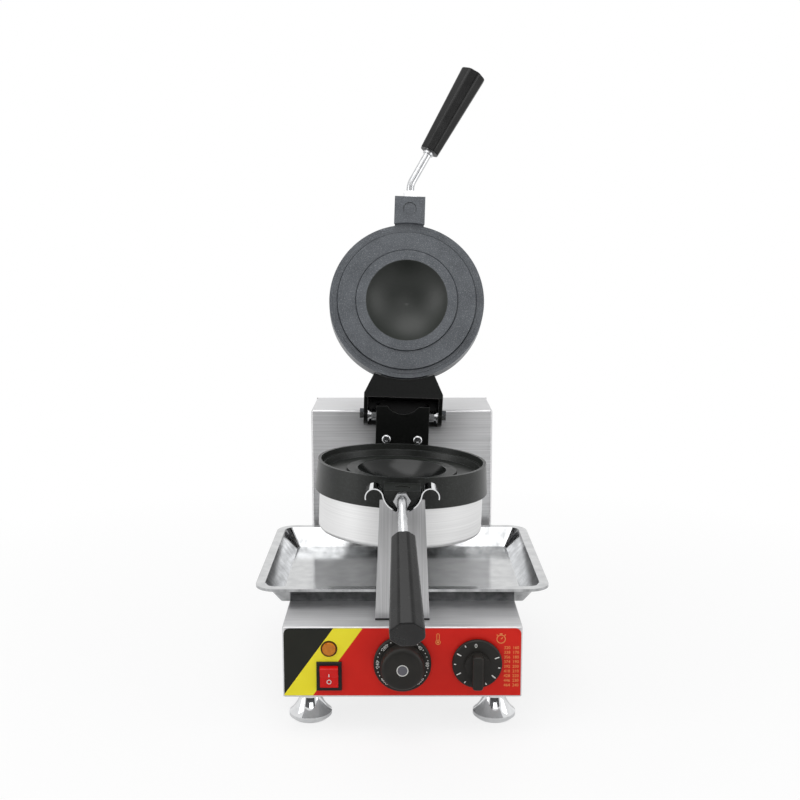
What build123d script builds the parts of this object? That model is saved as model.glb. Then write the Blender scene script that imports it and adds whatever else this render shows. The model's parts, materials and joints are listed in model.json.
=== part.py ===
"""Ice cream burger press: a rotating pair of hinged pans over a drip tray, on a control box.

Millimetres, +Z up, +Y to the back, origin on the worktop under the middle of the whole machine.
The lid stands open and the pans are turned by a few degrees, as the machine is left at rest.
"""
import os
from math import asin, atan2, cos, degrees, radians, sin, sqrt, tan

from build123d import *

# Clearances
fit_gap = 0.1
slip_gap = 0.3
running_gap = 0.05

# Sheet metal
sheet_t = 1.5
bend_r = 3.0

# Feet
foot_h = 39.0
foot_flange_r = 23.0
foot_rim_h = 7.0
foot_neck_r = 9.0
foot_base_r = 19.0
foot_shoulder_r = 11.5
foot_shoulder_drop = 14.0
foot_neck_drop = 9.0
foot_hollow = 1.2
foot_stud_r = 5.0
foot_stud_l = 16.0
foot_inset_x = 25.5
foot_inset_y = 40.0
nut_h = 8.0
nut_af = 16.0

# Base box
base_w = 250.0
base_d = 448.0
base_h = 76.0
floor_lip = 12.0
deck_bend_r = 1.2
overlay_t = 0.4
overlay_side = 1.5
overlay_top = 1.5
overlay_corner_r = 6.0

# Controls on the front panel: across from the middle, and down from the deck
lamp_x = -76.4
lamp_drop = 23.5
lamp_r = 7.0
lamp_neck_r = 5.0
lamp_body_l = 24.0
switch_x = -76.4
switch_drop = 53.0
switch_w = 26.4
switch_tall = 31.0
switch_rim = 3.4
switch_bezel_t = 2.5
switch_body_l = 22.0
switch_wall = 1.2
rocker_tilt = 10.0
rocker_dip = 3.2
rocker_pivot_out = 0.6
rocker_pin_r = 1.5
rocker_pin_out = 0.6
dial_drop = 38.7
thermostat_x = 0.0
thermostat_skirt_r = 30.0
thermostat_skirt_t = 4.0
thermostat_cap_r = 22.5
thermostat_cap_l = 17.0
thermostat_body_w = 44.0
thermostat_body_l = 30.0
thermostat_grip_l = 14.0
timer_x = 77.7
timer_dial_r = 26.0
timer_dial_t = 4.0
timer_hub_r = 13.0
timer_hub_t = 5.0
timer_wing_w = 11.0
timer_wing_reach = 23.0
timer_wing_l = 15.0
timer_body_w = 52.0
timer_body_l = 30.0
timer_grip_l = 9.0
spindle_r = 3.0
spindle_collar_r = 5.0
knob_gap = 1.0

# Rear tower
tower_w = 238.0
tower_h = 173.0
tower_d = 108.0
vent_count = 9
vent_pitch = 12.0
vent_h = 4.0
vent_w = 110.0
gland_r = 11.0
gland_out = 14.0
gland_rise = 30.0
gland_wall = 3.0
gland_nut_l = 5.0
gland_hex_l = 6.0
cord_r = 4.5
terminal_w = 70.0
terminal_d = 24.0
terminal_h = 20.0
terminal_set = 90.0
terminal_poles = 6
terminal_hole_r = 2.6

# Front column and its spring cradle
column_set = 21.0
column_t = 3.0
column_w_low = 57.5
column_w_high = 47.0
column_foot_d = 28.0
column_pad_t = 2.0
column_top_drop = 7.5
cradle_t = 1.2
cradle_d = 28.0
cradle_curl_r = 9.2
cradle_curl_drop = 5.2
saddle_w = 20.0
rivet_r = 2.5
rivet_head_r = 4.0
rivet_head_h = 2.0

# Drip tray
tray_w = 323.0
tray_d = 266.7
tray_h = 22.0
tray_t = 0.8
tray_set = 56.8
tray_flange = 10.0
tray_slope = 17.0
tray_corner_r = 24.0
tray_lip = 3.0

# Rotor axis, and how far the pans are turned about it at rest
axis_rise = 137.5
rest_turn = 2.0
lug_r = 19.5
lug_gap = 0.3
lug_front = 31.0
pan_set = 165.4

# Pans, with levels counted down from the rim plane
rim_rise = 5.5
rim_r = 97.5
skirt_r = 100.0
skirt_h = 34.2
rim_w = 3.5
ledge_drop = 6.5
ledge_w = 4.0
draft = 0.5
floor_drop = 13.5
floor_r = 88.5
ring_out_r = 64.0
ring_h = 3.0
bowl_r = 51.5
bowl_depth = 25.0
lid_bowl_depth = 24.0
plate_t = 7.0
bowl_wall = 5.0
cover_r = 94.8
cover_h = 46.7
cover_lap = 6.0
cover_t = 1.0
cover_edge_r = 5.0
lid_rim_r = 98.5
lid_step_r = 93.3
lid_step_h = 1.0
plug_r = 87.6
plug_h = 5.0
lid_ring_h = 2.0
groove_w = 1.5
groove_depth = 1.0
heater_r = 72.0
heater_tube_r = 4.0
insulation_t = 26.0
cover_boss_r = 9.0
cover_boss_h = 8.0
cover_bolt_r = 3.0
cover_bolt_af = 10.0
cover_bolt_head = 4.0

# Handles
handle_drop = 9.5
handle_rod_r = 5.0
handle_bend = 31.0
handle_bend_at = 18.0
handle_bend_r = 24.0
handle_rod_l = 50.0
handle_lower_roll = 5.0
handle_upper_bend = 27.0
handle_upper_roll = 85.0
grip_l = 120.0
grip_w_near = 24.5
grip_w_far = 33.5
grip_corner_r = 5.0
grip_edge_r = 1.6
grip_bore_l = 60.0
ferrule_r = 7.0
ferrule_l = 4.0
thread_count = 5
thread_pitch = 1.5
thread_depth = 0.6
barrel_r = 8.25
barrel_l = 15.0
barrel_set = 16.0
barrel_sunk = 1.2
barrel_gap = 0.35

# Hinge and the plates that carry the pans
hinge_back = 143.8
hinge_rise = 33.5
lid_open = 104.0
hinge_bolt_r = 4.0
hinge_bolt_af = 13.0
hinge_bolt_head = 5.0
hinge_nut_h = 6.5
hinge_ear_r = 12.0
hinge_washer_t = 1.6
bracket_w = 67.4
bracket_t = 4.0
bracket_ahead = 14.0
bracket_low = 76.0
bracket_high = 13.5
bracket_back = 12.0
bracket_notch_w = 40.0
bracket_notch_h = 10.0
bracket_nose = 3.0
stop_from_plate = 16.0
stop_root_y = 12.0
stop_root_drop = 14.0
stop_root_h = 12.0
bracket_screw_x = 20.0
bracket_screw_rise = 4.5
bracket_screw_r = 4.0
bracket_screw_head_r = 6.0
bracket_screw_head = 3.4
pan_bolt_x = 16.0
pan_bolt_drop = 29.5
pan_bolt_r = 4.0
pan_bolt_af = 13.0
pan_bolt_head = 5.5
pan_bolt_grip = 14.0
pan_arm_w = 52.0
pan_arm_low = 40.5
pan_arm_high = 13.5
yoke_w = 100.0
yoke_t = 5.0
yoke_ahead = 20.5
yoke_low = 23.7
yoke_high = 23.5
yoke_cap_t = 3.0
yoke_cap_back = 12.0
yoke_neck_w = 72.0
lid_boss_w = 60.0
lid_boss_d = 20.0
lid_boss_h = 18.0
lid_bolt_x = 20.0
lid_bolt_r = 3.0
lid_bolt_af = 10.0
lid_bolt_head = 4.0

# Shaft and its bearing
shaft_r = 15.0
shaft_bore_r = 7.0
shaft_flange_w = 58.0
shaft_flange_t = 8.0
shaft_flange_low = 39.5
shaft_flange_high = 14.5
bush_wall = 3.0
bush_flange_r = 24.0
bush_flange_t = 3.0
bush_l = 22.0
bearing_w = 64.0
bearing_l = 62.0
bearing_screw_x = 24.0
bearing_screw_r = 3.0
bearing_screw_head_r = 5.0
bearing_screw_head = 3.0
collar_r = 23.0
collar_l = 12.0
collar_screw_r = 3.0

# Small screws of the covers
cover_screw_r = 2.0
cover_screw_head_r = 3.8
cover_screw_head = 2.0
cover_screw_l = 8.0
screw_shares = (0.15, 0.5, 0.85)

# Levels and places that follow
base_z = foot_h
deck_z = base_z + base_h
axis_z = deck_z + axis_rise
rim_z = axis_z + rim_rise
hinge_z = axis_z + hinge_rise
grip_reach = (handle_rod_l + grip_l) * cos(radians(handle_bend))
grip_reach += grip_w_far / 2 * sin(radians(handle_bend))
front_reach = handle_bend_at - lug_front + grip_reach
front_y = (front_reach - base_d - gland_out) / 2
back_y = front_y + base_d
tower_y = back_y - tower_d
pan_y = front_y + pan_set
hinge_y = pan_y + hinge_back
bracket_y = hinge_y - bracket_ahead
yoke_y = hinge_y - yoke_ahead - yoke_t
lug_y = front_y + lug_front
column_y = front_y + column_set
flange_back = bracket_y + bracket_t + shaft_flange_t
cradle_r = lug_r + 0.5
lower_bowl_low = -floor_drop + ring_h - bowl_depth
lid_bowl_low = plug_h + lid_ring_h - lid_bowl_depth
tower_top = deck_z + tower_h
foot_x = base_w / 2 - foot_inset_x
foot_ys = (front_y + foot_inset_y, back_y - foot_inset_y)
rotor_axis = Axis((0, 0, axis_z), (0, 1, 0))
hinge_axis = Axis((0, hinge_y, hinge_z), (1, 0, 0))
lug_plane = Plane(origin=(0, 0, axis_z), z_dir=(0, 0, 1))


def block(x0, x1, y0, y1, z0, z1):
    """Box between two corners."""
    middle = Pos((x0 + x1) / 2, (y0 + y1) / 2, (z0 + z1) / 2)
    return middle * Box(x1 - x0, y1 - y0, z1 - z0)


def post(r, z0, z1, x=0.0, y=0.0):
    """Upright cylinder."""
    return Pos(x, y, (z0 + z1) / 2) * Cylinder(r, z1 - z0)


def spindle(r, y0, y1, x=0.0, z=0.0):
    """Cylinder from front to back."""
    return Pos(x, (y0 + y1) / 2, z) * Rot(90, 0, 0) * Cylinder(r, y1 - y0)


def crossbar(r, x0, x1, y, z):
    """Cylinder from side to side."""
    return Pos((x0 + x1) / 2, y, z) * Rot(0, 90, 0) * Cylinder(r, x1 - x0)


def hexagon(af, length):
    """Hexagonal prism on +Z from the origin."""
    return extrude(RegularPolygon(af / 2, 6, major_radius=False), length)


def side_profile(face_yz, x0, x1):
    """Extrude a sketch drawn in (y, z) from x0 to x1."""
    return extrude(Plane(origin=(x0, 0, 0), x_dir=(0, 1, 0), z_dir=(1, 0, 0)) * face_yz, x1 - x0)


def front_profile(face_xz, y0, y1):
    """Extrude a sketch drawn in (x, z) from y0 to y1."""
    return extrude(Plane(origin=(0, y1, 0), x_dir=(1, 0, 0), z_dir=(0, -1, 0)) * face_xz, y1 - y0)


def lathe(face_rz, y, z):
    """Turn a sketch drawn in (radius, height) about the upright line through (0, y, z)."""
    return Pos(0, y, z) * revolve(Plane.XZ * face_rz, Axis.Z)


def turned(shape):
    """Turn a closed-pose rotor piece to its rest place."""
    return shape.rotate(rotor_axis, rest_turn)


def opened(shape):
    """Swing a closed-pose lid piece open, then turn it with the rotor."""
    return turned(shape.rotate(hinge_axis, -lid_open))


# Base and feet
def make_base_shell():
    half = base_w / 2
    outer = block(-half, half, front_y, back_y, base_z, deck_z)
    outer = fillet(outer.edges().filter_by(Axis.Z), bend_r)
    outer = fillet(outer.faces().sort_by(Axis.Z)[-1].edges(), deck_bend_r)
    inner = block(
        -half + sheet_t, half - sheet_t, front_y + sheet_t, back_y - sheet_t, base_z - 1, deck_z - sheet_t
    )
    shell = outer - inner
    shell -= spindle(lamp_neck_r + fit_gap, front_y - 1, front_y + bend_r, lamp_x, deck_z - lamp_drop)
    shell -= switch_cutout(front_y - 1, front_y + bend_r)
    for x in (thermostat_x, timer_x):
        shell -= spindle(spindle_collar_r + fit_gap, front_y - 1, front_y + bend_r, x, deck_z - dial_drop)
    wire_way = tower_w / 2 - 2 * floor_lip
    way_y0, way_y1 = tower_y + 2 * floor_lip, back_y - 2 * floor_lip
    shell -= block(-wire_way, wire_way, way_y0, way_y1, deck_z - 5, deck_z + 1)
    for x in column_screw_xs():
        shell -= post(cover_screw_r + fit_gap, deck_z - 5, deck_z + 1, x, column_screw_y())
    for x in floor_screw_xs():
        for y in floor_screw_ys():
            shell -= crossbar(cover_screw_r + fit_gap, x - bend_r, x + bend_r, y, floor_screw_z())
    gland_hole_r = gland_r - gland_wall + fit_gap
    shell -= spindle(gland_hole_r, back_y - bend_r, back_y + 1, 0, base_z + gland_rise)
    return shell


def make_bottom_plate():
    x = base_w / 2 - sheet_t - fit_gap
    y0, y1 = front_y + sheet_t + fit_gap, back_y - sheet_t - fit_gap
    pan = block(-x, x, y0, y1, base_z, base_z + floor_lip)
    pan -= block(-x + sheet_t, x - sheet_t, y0 - 1, y1 - sheet_t, base_z + sheet_t, deck_z)
    for foot_y in foot_ys:
        for side in (-1, 1):
            pan -= post(foot_stud_r + running_gap, base_z - 1, base_z + 5, side * foot_x, foot_y)
    for screw_x in floor_screw_xs():
        for screw_y in floor_screw_ys():
            pan -= crossbar(cover_screw_r + fit_gap, screw_x - 9, screw_x + 9, screw_y, floor_screw_z())
    for row in range(vent_count):
        slot_y = pan_y + (row - (vent_count - 1) / 2) * vent_pitch
        slot = block(-vent_w / 2, vent_w / 2, -vent_h / 2, vent_h / 2, base_z - 1, base_z + 5)
        pan -= Pos(0, slot_y, 0) * slot
    return pan


def floor_screw_xs():
    return (-base_w / 2, base_w / 2)


def floor_screw_ys():
    return [front_y + base_d * share for share in screw_shares]


def floor_screw_z():
    return base_z + floor_lip / 2 + sheet_t / 2


def make_floor_screws():
    screws = []
    for x in floor_screw_xs():
        out = 1 if x > 0 else -1
        for y in floor_screw_ys():
            tip = x - out * cover_screw_l
            shank = crossbar(cover_screw_r, min(x, tip), max(x, tip), y, floor_screw_z())
            cap = x + out * cover_screw_head
            head = crossbar(cover_screw_head_r, min(x, cap), max(x, cap), y, floor_screw_z())
            screws.append(shank + head)
    return screws


def make_foot(x, y):
    rim = foot_flange_r
    shoulder = foot_h - foot_shoulder_drop
    neck = foot_h - foot_neck_drop
    top = foot_h + foot_stud_l
    with BuildSketch() as bell:
        with BuildLine():
            Polyline((0, 0), (foot_base_r, 0), (rim, foot_rim_h / 2), (rim, foot_rim_h))
            low, high = (rim, foot_rim_h), (foot_shoulder_r, shoulder)
            middle = ((low[0] + high[0]) / 2 - foot_hollow, (low[1] + high[1]) / 2 - foot_hollow)
            ThreePointArc(low, middle, high)
            Polyline(high, (foot_shoulder_r, neck), (foot_neck_r, neck), (foot_neck_r, foot_h))
            Polyline((foot_neck_r, foot_h), (foot_stud_r, foot_h), (foot_stud_r, top), (0, top), (0, 0))
        make_face()
    return lathe(bell.sketch, 0, 0).moved(Pos(x, y, 0))


def make_foot_nuts():
    nuts = []
    for y in foot_ys:
        for side in (-1, 1):
            nut = hexagon(nut_af, nut_h) - post(foot_stud_r + running_gap, -1, nut_h + 1)
            nuts.append(Pos(side * foot_x, y, base_z + sheet_t) * nut)
    return nuts


# Front overlay and controls
def overlay_outline():
    x = base_w / 2 - overlay_side
    low, high = base_z + overlay_side, deck_z - overlay_top
    corners = Polyline((-x, low), (x, low), (x, high), (-x, high), close=True)
    panel = make_face(corners)
    return fillet(panel.vertices().sort_by(Axis.Y)[-2:], overlay_corner_r)


def make_overlay():
    sheet = front_profile(overlay_outline(), front_y - overlay_t, front_y)
    sheet -= spindle(lamp_neck_r + fit_gap, front_y - 2, front_y + 2, lamp_x, deck_z - lamp_drop)
    sheet -= switch_cutout(front_y - 2, front_y + 2)
    for x in (thermostat_x, timer_x):
        sheet -= spindle(spindle_collar_r + fit_gap, front_y - 2, front_y + 2, x, deck_z - dial_drop)
    return sheet


def switch_cutout(y0, y1):
    half_w = switch_w / 2 - switch_rim + switch_wall + fit_gap
    half_h = switch_tall / 2 - switch_rim + switch_wall + fit_gap
    z = deck_z - switch_drop
    return block(switch_x - half_w, switch_x + half_w, y0, y1, z - half_h, z + half_h)


def rocker_pivot_y():
    return front_y - overlay_t - rocker_pivot_out


def rocker_r():
    return switch_tall / 2 - switch_rim - slip_gap


def make_switch_frame():
    z = deck_z - switch_drop
    face = front_y - overlay_t
    half_w, half_h = switch_w / 2, switch_tall / 2
    bezel = block(switch_x - half_w, switch_x + half_w, face - switch_bezel_t, face, z - half_h, z + half_h)
    bezel = chamfer(bezel.faces().sort_by(Axis.Y)[0].edges(), 0.8)
    in_w, in_h = half_w - switch_rim, half_h - switch_rim
    back = front_y + switch_body_l
    can = block(
        switch_x - in_w - switch_wall, switch_x + in_w + switch_wall, face, back, z - in_h - switch_wall,
        z + in_h + switch_wall
    )
    hollow = block(
        switch_x - in_w, switch_x + in_w, face - 5, back - switch_wall - 2, z - in_h, z + in_h
    )
    x0, x1 = switch_x - in_w - rocker_pin_out, switch_x + in_w + rocker_pin_out
    pins = crossbar(rocker_pin_r + running_gap, x0, x1, rocker_pivot_y(), z)
    return bezel + can - hollow - pins


def make_rocker():
    z = deck_z - switch_drop
    in_w = switch_w / 2 - switch_rim
    half = in_w - slip_gap
    pin_reach = rocker_pin_out - fit_gap
    r = rocker_r()
    rise = tan(radians(rocker_tilt)) * r
    out = rocker_dip + rise
    outline = Polyline((-rocker_dip, 0), (-out, r), (r, r), (r, -r), (-out, -r), close=True)
    paddle = make_face(outline) & Circle(r)
    button = side_profile(paddle, switch_x - half, switch_x + half)
    button += crossbar(rocker_pin_r, switch_x - in_w - pin_reach, switch_x + in_w + pin_reach, 0, 0)
    button = button.rotate(Axis.X, rocker_tilt)
    return Pos(0, rocker_pivot_y(), z) * button


def make_lamp_lens():
    z = deck_z - lamp_drop
    face = front_y - overlay_t
    lens = spindle(lamp_r, face - 2.5, face, lamp_x, z)
    lens = fillet(lens.faces().sort_by(Axis.Y)[0].edges(), 1.2)
    return lens + spindle(lamp_neck_r, face, front_y + sheet_t + 2, lamp_x, z)


def make_lamp_body():
    z = deck_z - lamp_drop
    start = front_y + sheet_t + fit_gap
    cup = spindle(lamp_r, start, start + lamp_body_l, lamp_x, z)
    return cup - spindle(lamp_neck_r + fit_gap, start - 1, start + 4, lamp_x, z)


def control_body(x, width, length):
    """Control behind the panel with its bush through the panel and a bore for its spindle."""
    z = deck_z - dial_drop
    start = front_y + sheet_t + fit_gap
    half = width / 2
    body = block(x - half, x + half, start, start + length, z - half, z + half)
    body = fillet(body.edges().filter_by(Axis.Y), 2.0)
    body += spindle(spindle_collar_r, front_y - overlay_t, start, x, z)
    return body - spindle(spindle_r + running_gap, front_y - 5, start + length * 0.7, x, z)


def control_spindle(x, length, knob_l):
    start = front_y + sheet_t + fit_gap
    tip = front_y - overlay_t - knob_l
    return spindle(spindle_r, tip, start + length * 0.7 - 1, x, deck_z - dial_drop)


def make_thermostat_knob():
    back = front_y - overlay_t - knob_gap
    mid = back - thermostat_skirt_t
    tip = mid - thermostat_cap_l
    z = deck_z - dial_drop
    skirt = spindle(thermostat_skirt_r, mid, back, thermostat_x, z)
    skirt = chamfer(skirt.faces().sort_by(Axis.Y)[0].edges(), 1.2)
    cap = spindle(thermostat_cap_r, tip, mid, thermostat_x, z)
    cap = fillet(cap.faces().sort_by(Axis.Y)[0].edges(), 5.0)
    knob = skirt + cap
    return knob - spindle(spindle_r + fit_gap, tip + 6, back + 1, thermostat_x, z)


def make_timer_knob():
    back = front_y - overlay_t - knob_gap
    mid = back - timer_dial_t
    hub = mid - timer_hub_t
    tip = mid - timer_wing_l
    z = deck_z - dial_drop
    dial = spindle(timer_dial_r, mid, back, timer_x, z)
    dial = chamfer(dial.faces().sort_by(Axis.Y)[0].edges(), 1.0)
    half = timer_wing_w / 2
    wing = block(timer_x - half, timer_x + half, tip, mid, z - timer_wing_reach, z + timer_hub_r)
    wing = fillet(wing.edges().filter_by(Axis.Y), half * 0.6)
    wing = fillet(wing.faces().sort_by(Axis.Y)[0].edges(), 2.0)
    knob = dial + spindle(timer_hub_r, hub, mid, timer_x, z) + wing
    return knob - spindle(spindle_r + fit_gap, hub, back + 1, timer_x, z)


def make_terminal_block():
    x, y = terminal_w / 2, back_y - terminal_set
    low = base_z + sheet_t
    body = block(-x, x, y, y + terminal_d, low, low + terminal_h)
    pitch = terminal_w / terminal_poles
    for pole in range(terminal_poles):
        hole_x = (pole - (terminal_poles - 1) / 2) * pitch
        for share in (0.25, 0.75):
            hole_y = y + terminal_d * share
            body -= post(terminal_hole_r, low + terminal_h / 2, low + terminal_h + 1, hole_x, hole_y)
    return body


def make_cable_gland():
    z = base_z + gland_rise
    out = back_y + gland_out
    hexagonal = Rot(90, 0, 0) * hexagon(2 * gland_r, gland_hex_l)
    body = spindle(gland_r - gland_wall, back_y - 12, out, 0, z)
    body += Pos(0, back_y + gland_hex_l, z) * hexagonal
    body += spindle(gland_r - 1, back_y + gland_hex_l, out, 0, z)
    body = fillet(body.faces().sort_by(Axis.Y)[-1].edges(), 1.5)
    body += Pos(0, back_y - sheet_t, z) * Rot(90, 0, 0) * hexagon(2 * gland_r, gland_nut_l)
    return body - spindle(cord_r, back_y - 13, out + 1, 0, z)


# Tower and shaft bearing
def make_tower_shell():
    half = tower_w / 2
    outer = block(-half, half, tower_y, back_y - sheet_t, deck_z, tower_top)
    outer = fillet(outer.edges().filter_by(Axis.Z).group_by(Axis.Y)[0], bend_r)
    edges = outer.faces().sort_by(Axis.Z)[-1].edges().sort_by(Axis.Y)[:-1]
    outer = fillet(edges, bend_r)
    x = half - sheet_t
    inner = block(-x, x, tower_y + sheet_t, back_y, deck_z - 1, tower_top - sheet_t)
    shell = outer - inner
    shell -= spindle(shaft_r + bush_wall + fit_gap, tower_y - 1, tower_y + 5, 0, axis_z)
    for x, z in bearing_screw_places():
        shell -= spindle(bearing_screw_r + fit_gap, tower_y - 1, tower_y + 5, x, z)
    for x, z in tower_screw_places():
        shell -= crossbar(cover_screw_r + fit_gap, x - bend_r, x + bend_r, back_y - floor_lip / 2, z)
    return shell


def make_tower_cover():
    half = tower_w / 2
    cover = block(-half, half, back_y - sheet_t, back_y, deck_z, tower_top)
    x = half - sheet_t - fit_gap
    lip = block(-x, x, back_y - floor_lip, back_y - sheet_t, deck_z, tower_top - sheet_t - fit_gap)
    lip -= block(-x + sheet_t, x - sheet_t, tower_y, back_y, deck_z - 1, tower_top - 2 * sheet_t - fit_gap)
    cover += lip
    for row in range(vent_count):
        z = deck_z + tower_h / 2 + (row - (vent_count - 1) / 2) * vent_pitch
        cover -= block(-vent_w / 2, vent_w / 2, back_y - 5, back_y + 1, z - vent_h / 2, z + vent_h / 2)
    for x0, z in tower_screw_places():
        cover -= crossbar(cover_screw_r + fit_gap, x0 - 9, x0 + 9, back_y - floor_lip / 2, z)
    return cover


def tower_screw_places():
    levels = [deck_z + tower_h * share for share in screw_shares]
    return [(side * tower_w / 2, z) for side in (-1, 1) for z in levels]


def make_tower_screws():
    screws = []
    y = back_y - floor_lip / 2
    for x, z in tower_screw_places():
        out = 1 if x > 0 else -1
        tip = x - out * cover_screw_l
        cap = x + out * cover_screw_head
        shank = crossbar(cover_screw_r, min(x, tip), max(x, tip), y, z)
        head = crossbar(cover_screw_head_r, min(x, cap), max(x, cap), y, z)
        screws.append(shank + head)
    return screws


def bearing_screw_places():
    return [(sx * bearing_screw_x, axis_z + sz * bearing_screw_x) for sx in (-1, 1) for sz in (-1, 1)]


def make_bearing_block():
    half = bearing_w / 2
    y0 = tower_y + sheet_t
    body = block(-half, half, y0, y0 + bearing_l, axis_z - half, axis_z + half)
    body = fillet(body.edges().filter_by(Axis.Y), 6.0)
    body -= spindle(shaft_r + bush_wall, y0 - 1, y0 + bearing_l + 1, 0, axis_z)
    for x, z in bearing_screw_places():
        body -= spindle(bearing_screw_r + fit_gap, y0 - 1, y0 + 20, x, z)
    return body


def make_bearing_screws():
    screws = []
    for x, z in bearing_screw_places():
        shank = spindle(bearing_screw_r, tower_y, tower_y + 18, x, z)
        head = spindle(bearing_screw_head_r, tower_y - bearing_screw_head, tower_y, x, z)
        head = fillet(head.faces().sort_by(Axis.Y)[0].edges(), 1.5)
        screws.append(shank + head)
    return screws


def make_bush(flange_at, direction):
    """Bush whose flange lies outside the bearing and whose sleeve runs along direction."""
    y0, y1 = sorted((flange_at, flange_at + direction * bush_l))
    f0, f1 = sorted((flange_at, flange_at - direction * bush_flange_t))
    sleeve = spindle(shaft_r + bush_wall, y0, y1, 0, axis_z)
    flange = spindle(bush_flange_r, f0, f1, 0, axis_z)
    bore = spindle(shaft_r + running_gap, y0 - 5, y1 + 5, 0, axis_z)
    return sleeve + flange - bore


def bearing_end():
    return tower_y + sheet_t + bearing_l


def collar_y():
    return bearing_end() + bush_flange_t + slip_gap


def make_shaft():
    low, high = axis_z - shaft_flange_low, axis_z + shaft_flange_high
    half = shaft_flange_w / 2
    start = bracket_y + bracket_t
    flange = block(-half, half, start, flange_back, low, high)
    flange = fillet(flange.edges().filter_by(Axis.Y), 5.0)
    shaft = flange + spindle(shaft_r, start, collar_y() + collar_l + 4, 0, axis_z)
    shaft -= spindle(shaft_bore_r, start - 1, collar_y() + collar_l + 5, 0, axis_z)
    for side in (-1, 1):
        x, z = side * bracket_screw_x, axis_z + bracket_screw_rise
        shaft -= spindle(bracket_screw_r + fit_gap, start - 1, flange_back + 1, x, z)
        x, z = side * pan_bolt_x, axis_z - pan_bolt_drop
        shaft -= spindle(pan_bolt_r + fit_gap, start - 1, flange_back + 1, x, z)
    return turned(shaft)


def make_shaft_collar():
    y0 = collar_y()
    ring = spindle(collar_r, y0, y0 + collar_l, 0, axis_z)
    ring = chamfer(ring.edges().filter_by(GeomType.CIRCLE), 1.0)
    ring -= spindle(shaft_r + fit_gap, y0 - 1, y0 + collar_l + 1, 0, axis_z)
    ring -= post(collar_screw_r + fit_gap, axis_z, axis_z + collar_r + 1, 0, y0 + collar_l / 2)
    return turned(ring)


def make_collar_screw():
    y = collar_y() + collar_l / 2
    screw = post(collar_screw_r, axis_z + shaft_r + fit_gap, axis_z + collar_r, 0, y)
    return turned(screw)


# Column and cradle
def column_screw_xs():
    return (-column_w_low / 4, column_w_low / 4)


def column_screw_y():
    return column_y + column_foot_d * 0.6


def make_column():
    low = deck_z + column_pad_t
    high = axis_z - column_top_drop
    w0, w1 = column_w_low / 2, column_w_high / 2
    plate = front_profile(
        make_face(Polyline((-w0, low), (w0, low), (w1, high), (-w1, high), close=True)),
        column_y, column_y + column_t
    )
    foot = block(-w0, w0, column_y, column_y + column_foot_d, low, low + column_t)
    under = axis_z - cradle_r - cradle_t - fit_gap
    saddle = block(-saddle_w / 2, saddle_w / 2, column_y, column_y + cradle_d - 4, under - column_t, under)
    column = plate + foot + saddle
    column -= spindle(cradle_r + cradle_t + fit_gap, column_y - 1, column_y + column_t + 1, 0, axis_z)
    for x in column_screw_xs():
        column -= post(cover_screw_r + fit_gap, low - 1, low + column_t + 1, x, column_screw_y())
    column -= post(rivet_r + running_gap, under - column_t - 1, under + 1, 0, rivet_y())
    return column


def rivet_y():
    return column_y + cradle_d / 2


def make_column_pad():
    half = column_w_low / 2
    pad = block(-half, half, column_y, column_y + column_foot_d, deck_z, deck_z + column_pad_t)
    for x in column_screw_xs():
        pad -= post(cover_screw_r + fit_gap, deck_z - 1, deck_z + column_pad_t + 1, x, column_screw_y())
    return pad


def make_column_screws():
    screws = []
    top = deck_z + column_pad_t + column_t
    for x in column_screw_xs():
        shank = post(cover_screw_r, top - 10, top, x, column_screw_y())
        screws.append(shank + post(cover_screw_head_r, top, top + cover_screw_head, x, column_screw_y()))
    return screws


def make_cradle():
    mid_r = cradle_r + cradle_t / 2
    reach = mid_r + cradle_curl_r
    curl_x = sqrt(reach**2 - cradle_curl_drop**2)
    lean = degrees(atan2(cradle_curl_drop, curl_x))
    cup = CenterArc((0, 0), mid_r, 180 + lean, 180 - 2 * lean)
    right = CenterArc((curl_x, -cradle_curl_drop), cradle_curl_r, -15, 195 - lean)
    left = CenterArc((-curl_x, -cradle_curl_drop), cradle_curl_r, lean, 195 - lean)
    band = trace([cup, left, right], cradle_t)
    cradle = front_profile(Pos(0, axis_z) * band, column_y, column_y + cradle_d)
    low = axis_z - cradle_r - cradle_t
    return cradle - post(rivet_r + running_gap, low - 1, low + cradle_t + 1, 0, rivet_y())


def make_cradle_rivet():
    top = axis_z - cradle_r - fit_gap
    under = axis_z - cradle_r - cradle_t - fit_gap - column_t
    stem = post(rivet_r, under - rivet_head_h, top, 0, rivet_y())
    return stem + post(rivet_head_r, under - rivet_head_h, under, 0, rivet_y())


# Drip tray
def tray_section(inset, z):
    w, d = tray_w - 2 * inset, tray_d - 2 * inset
    corner = max(tray_corner_r - inset, 4.0)
    return Pos(0, front_y + tray_set + tray_d / 2, z) * RectangleRounded(w, d, corner)


def make_tray():
    low, high = deck_z, deck_z + tray_h
    inset = tray_flange + tray_slope
    outside = loft([tray_section(inset - tray_t, low), tray_section(tray_flange - tray_t, high)])
    inside = loft([tray_section(inset, low + tray_t), tray_section(tray_flange, high)])
    rim = extrude(tray_section(0, high - tray_lip), tray_lip)
    rim -= extrude(tray_section(tray_t, high - tray_lip), tray_lip - tray_t)
    opening = extrude(tray_section(tray_flange, high - tray_lip), tray_lip)
    return outside - inside + (rim - opening)


# Pans, drawn in (radius, height above the rim plane)
def bowl_arc(r, depth, brim):
    ball = (r**2 + depth**2) / (2 * depth)
    half = asin(r / ball) / 2
    middle = (ball * sin(half), brim - depth + ball - ball * cos(half))
    return ThreePointArc((r, brim), middle, (0, brim - depth))


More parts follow.
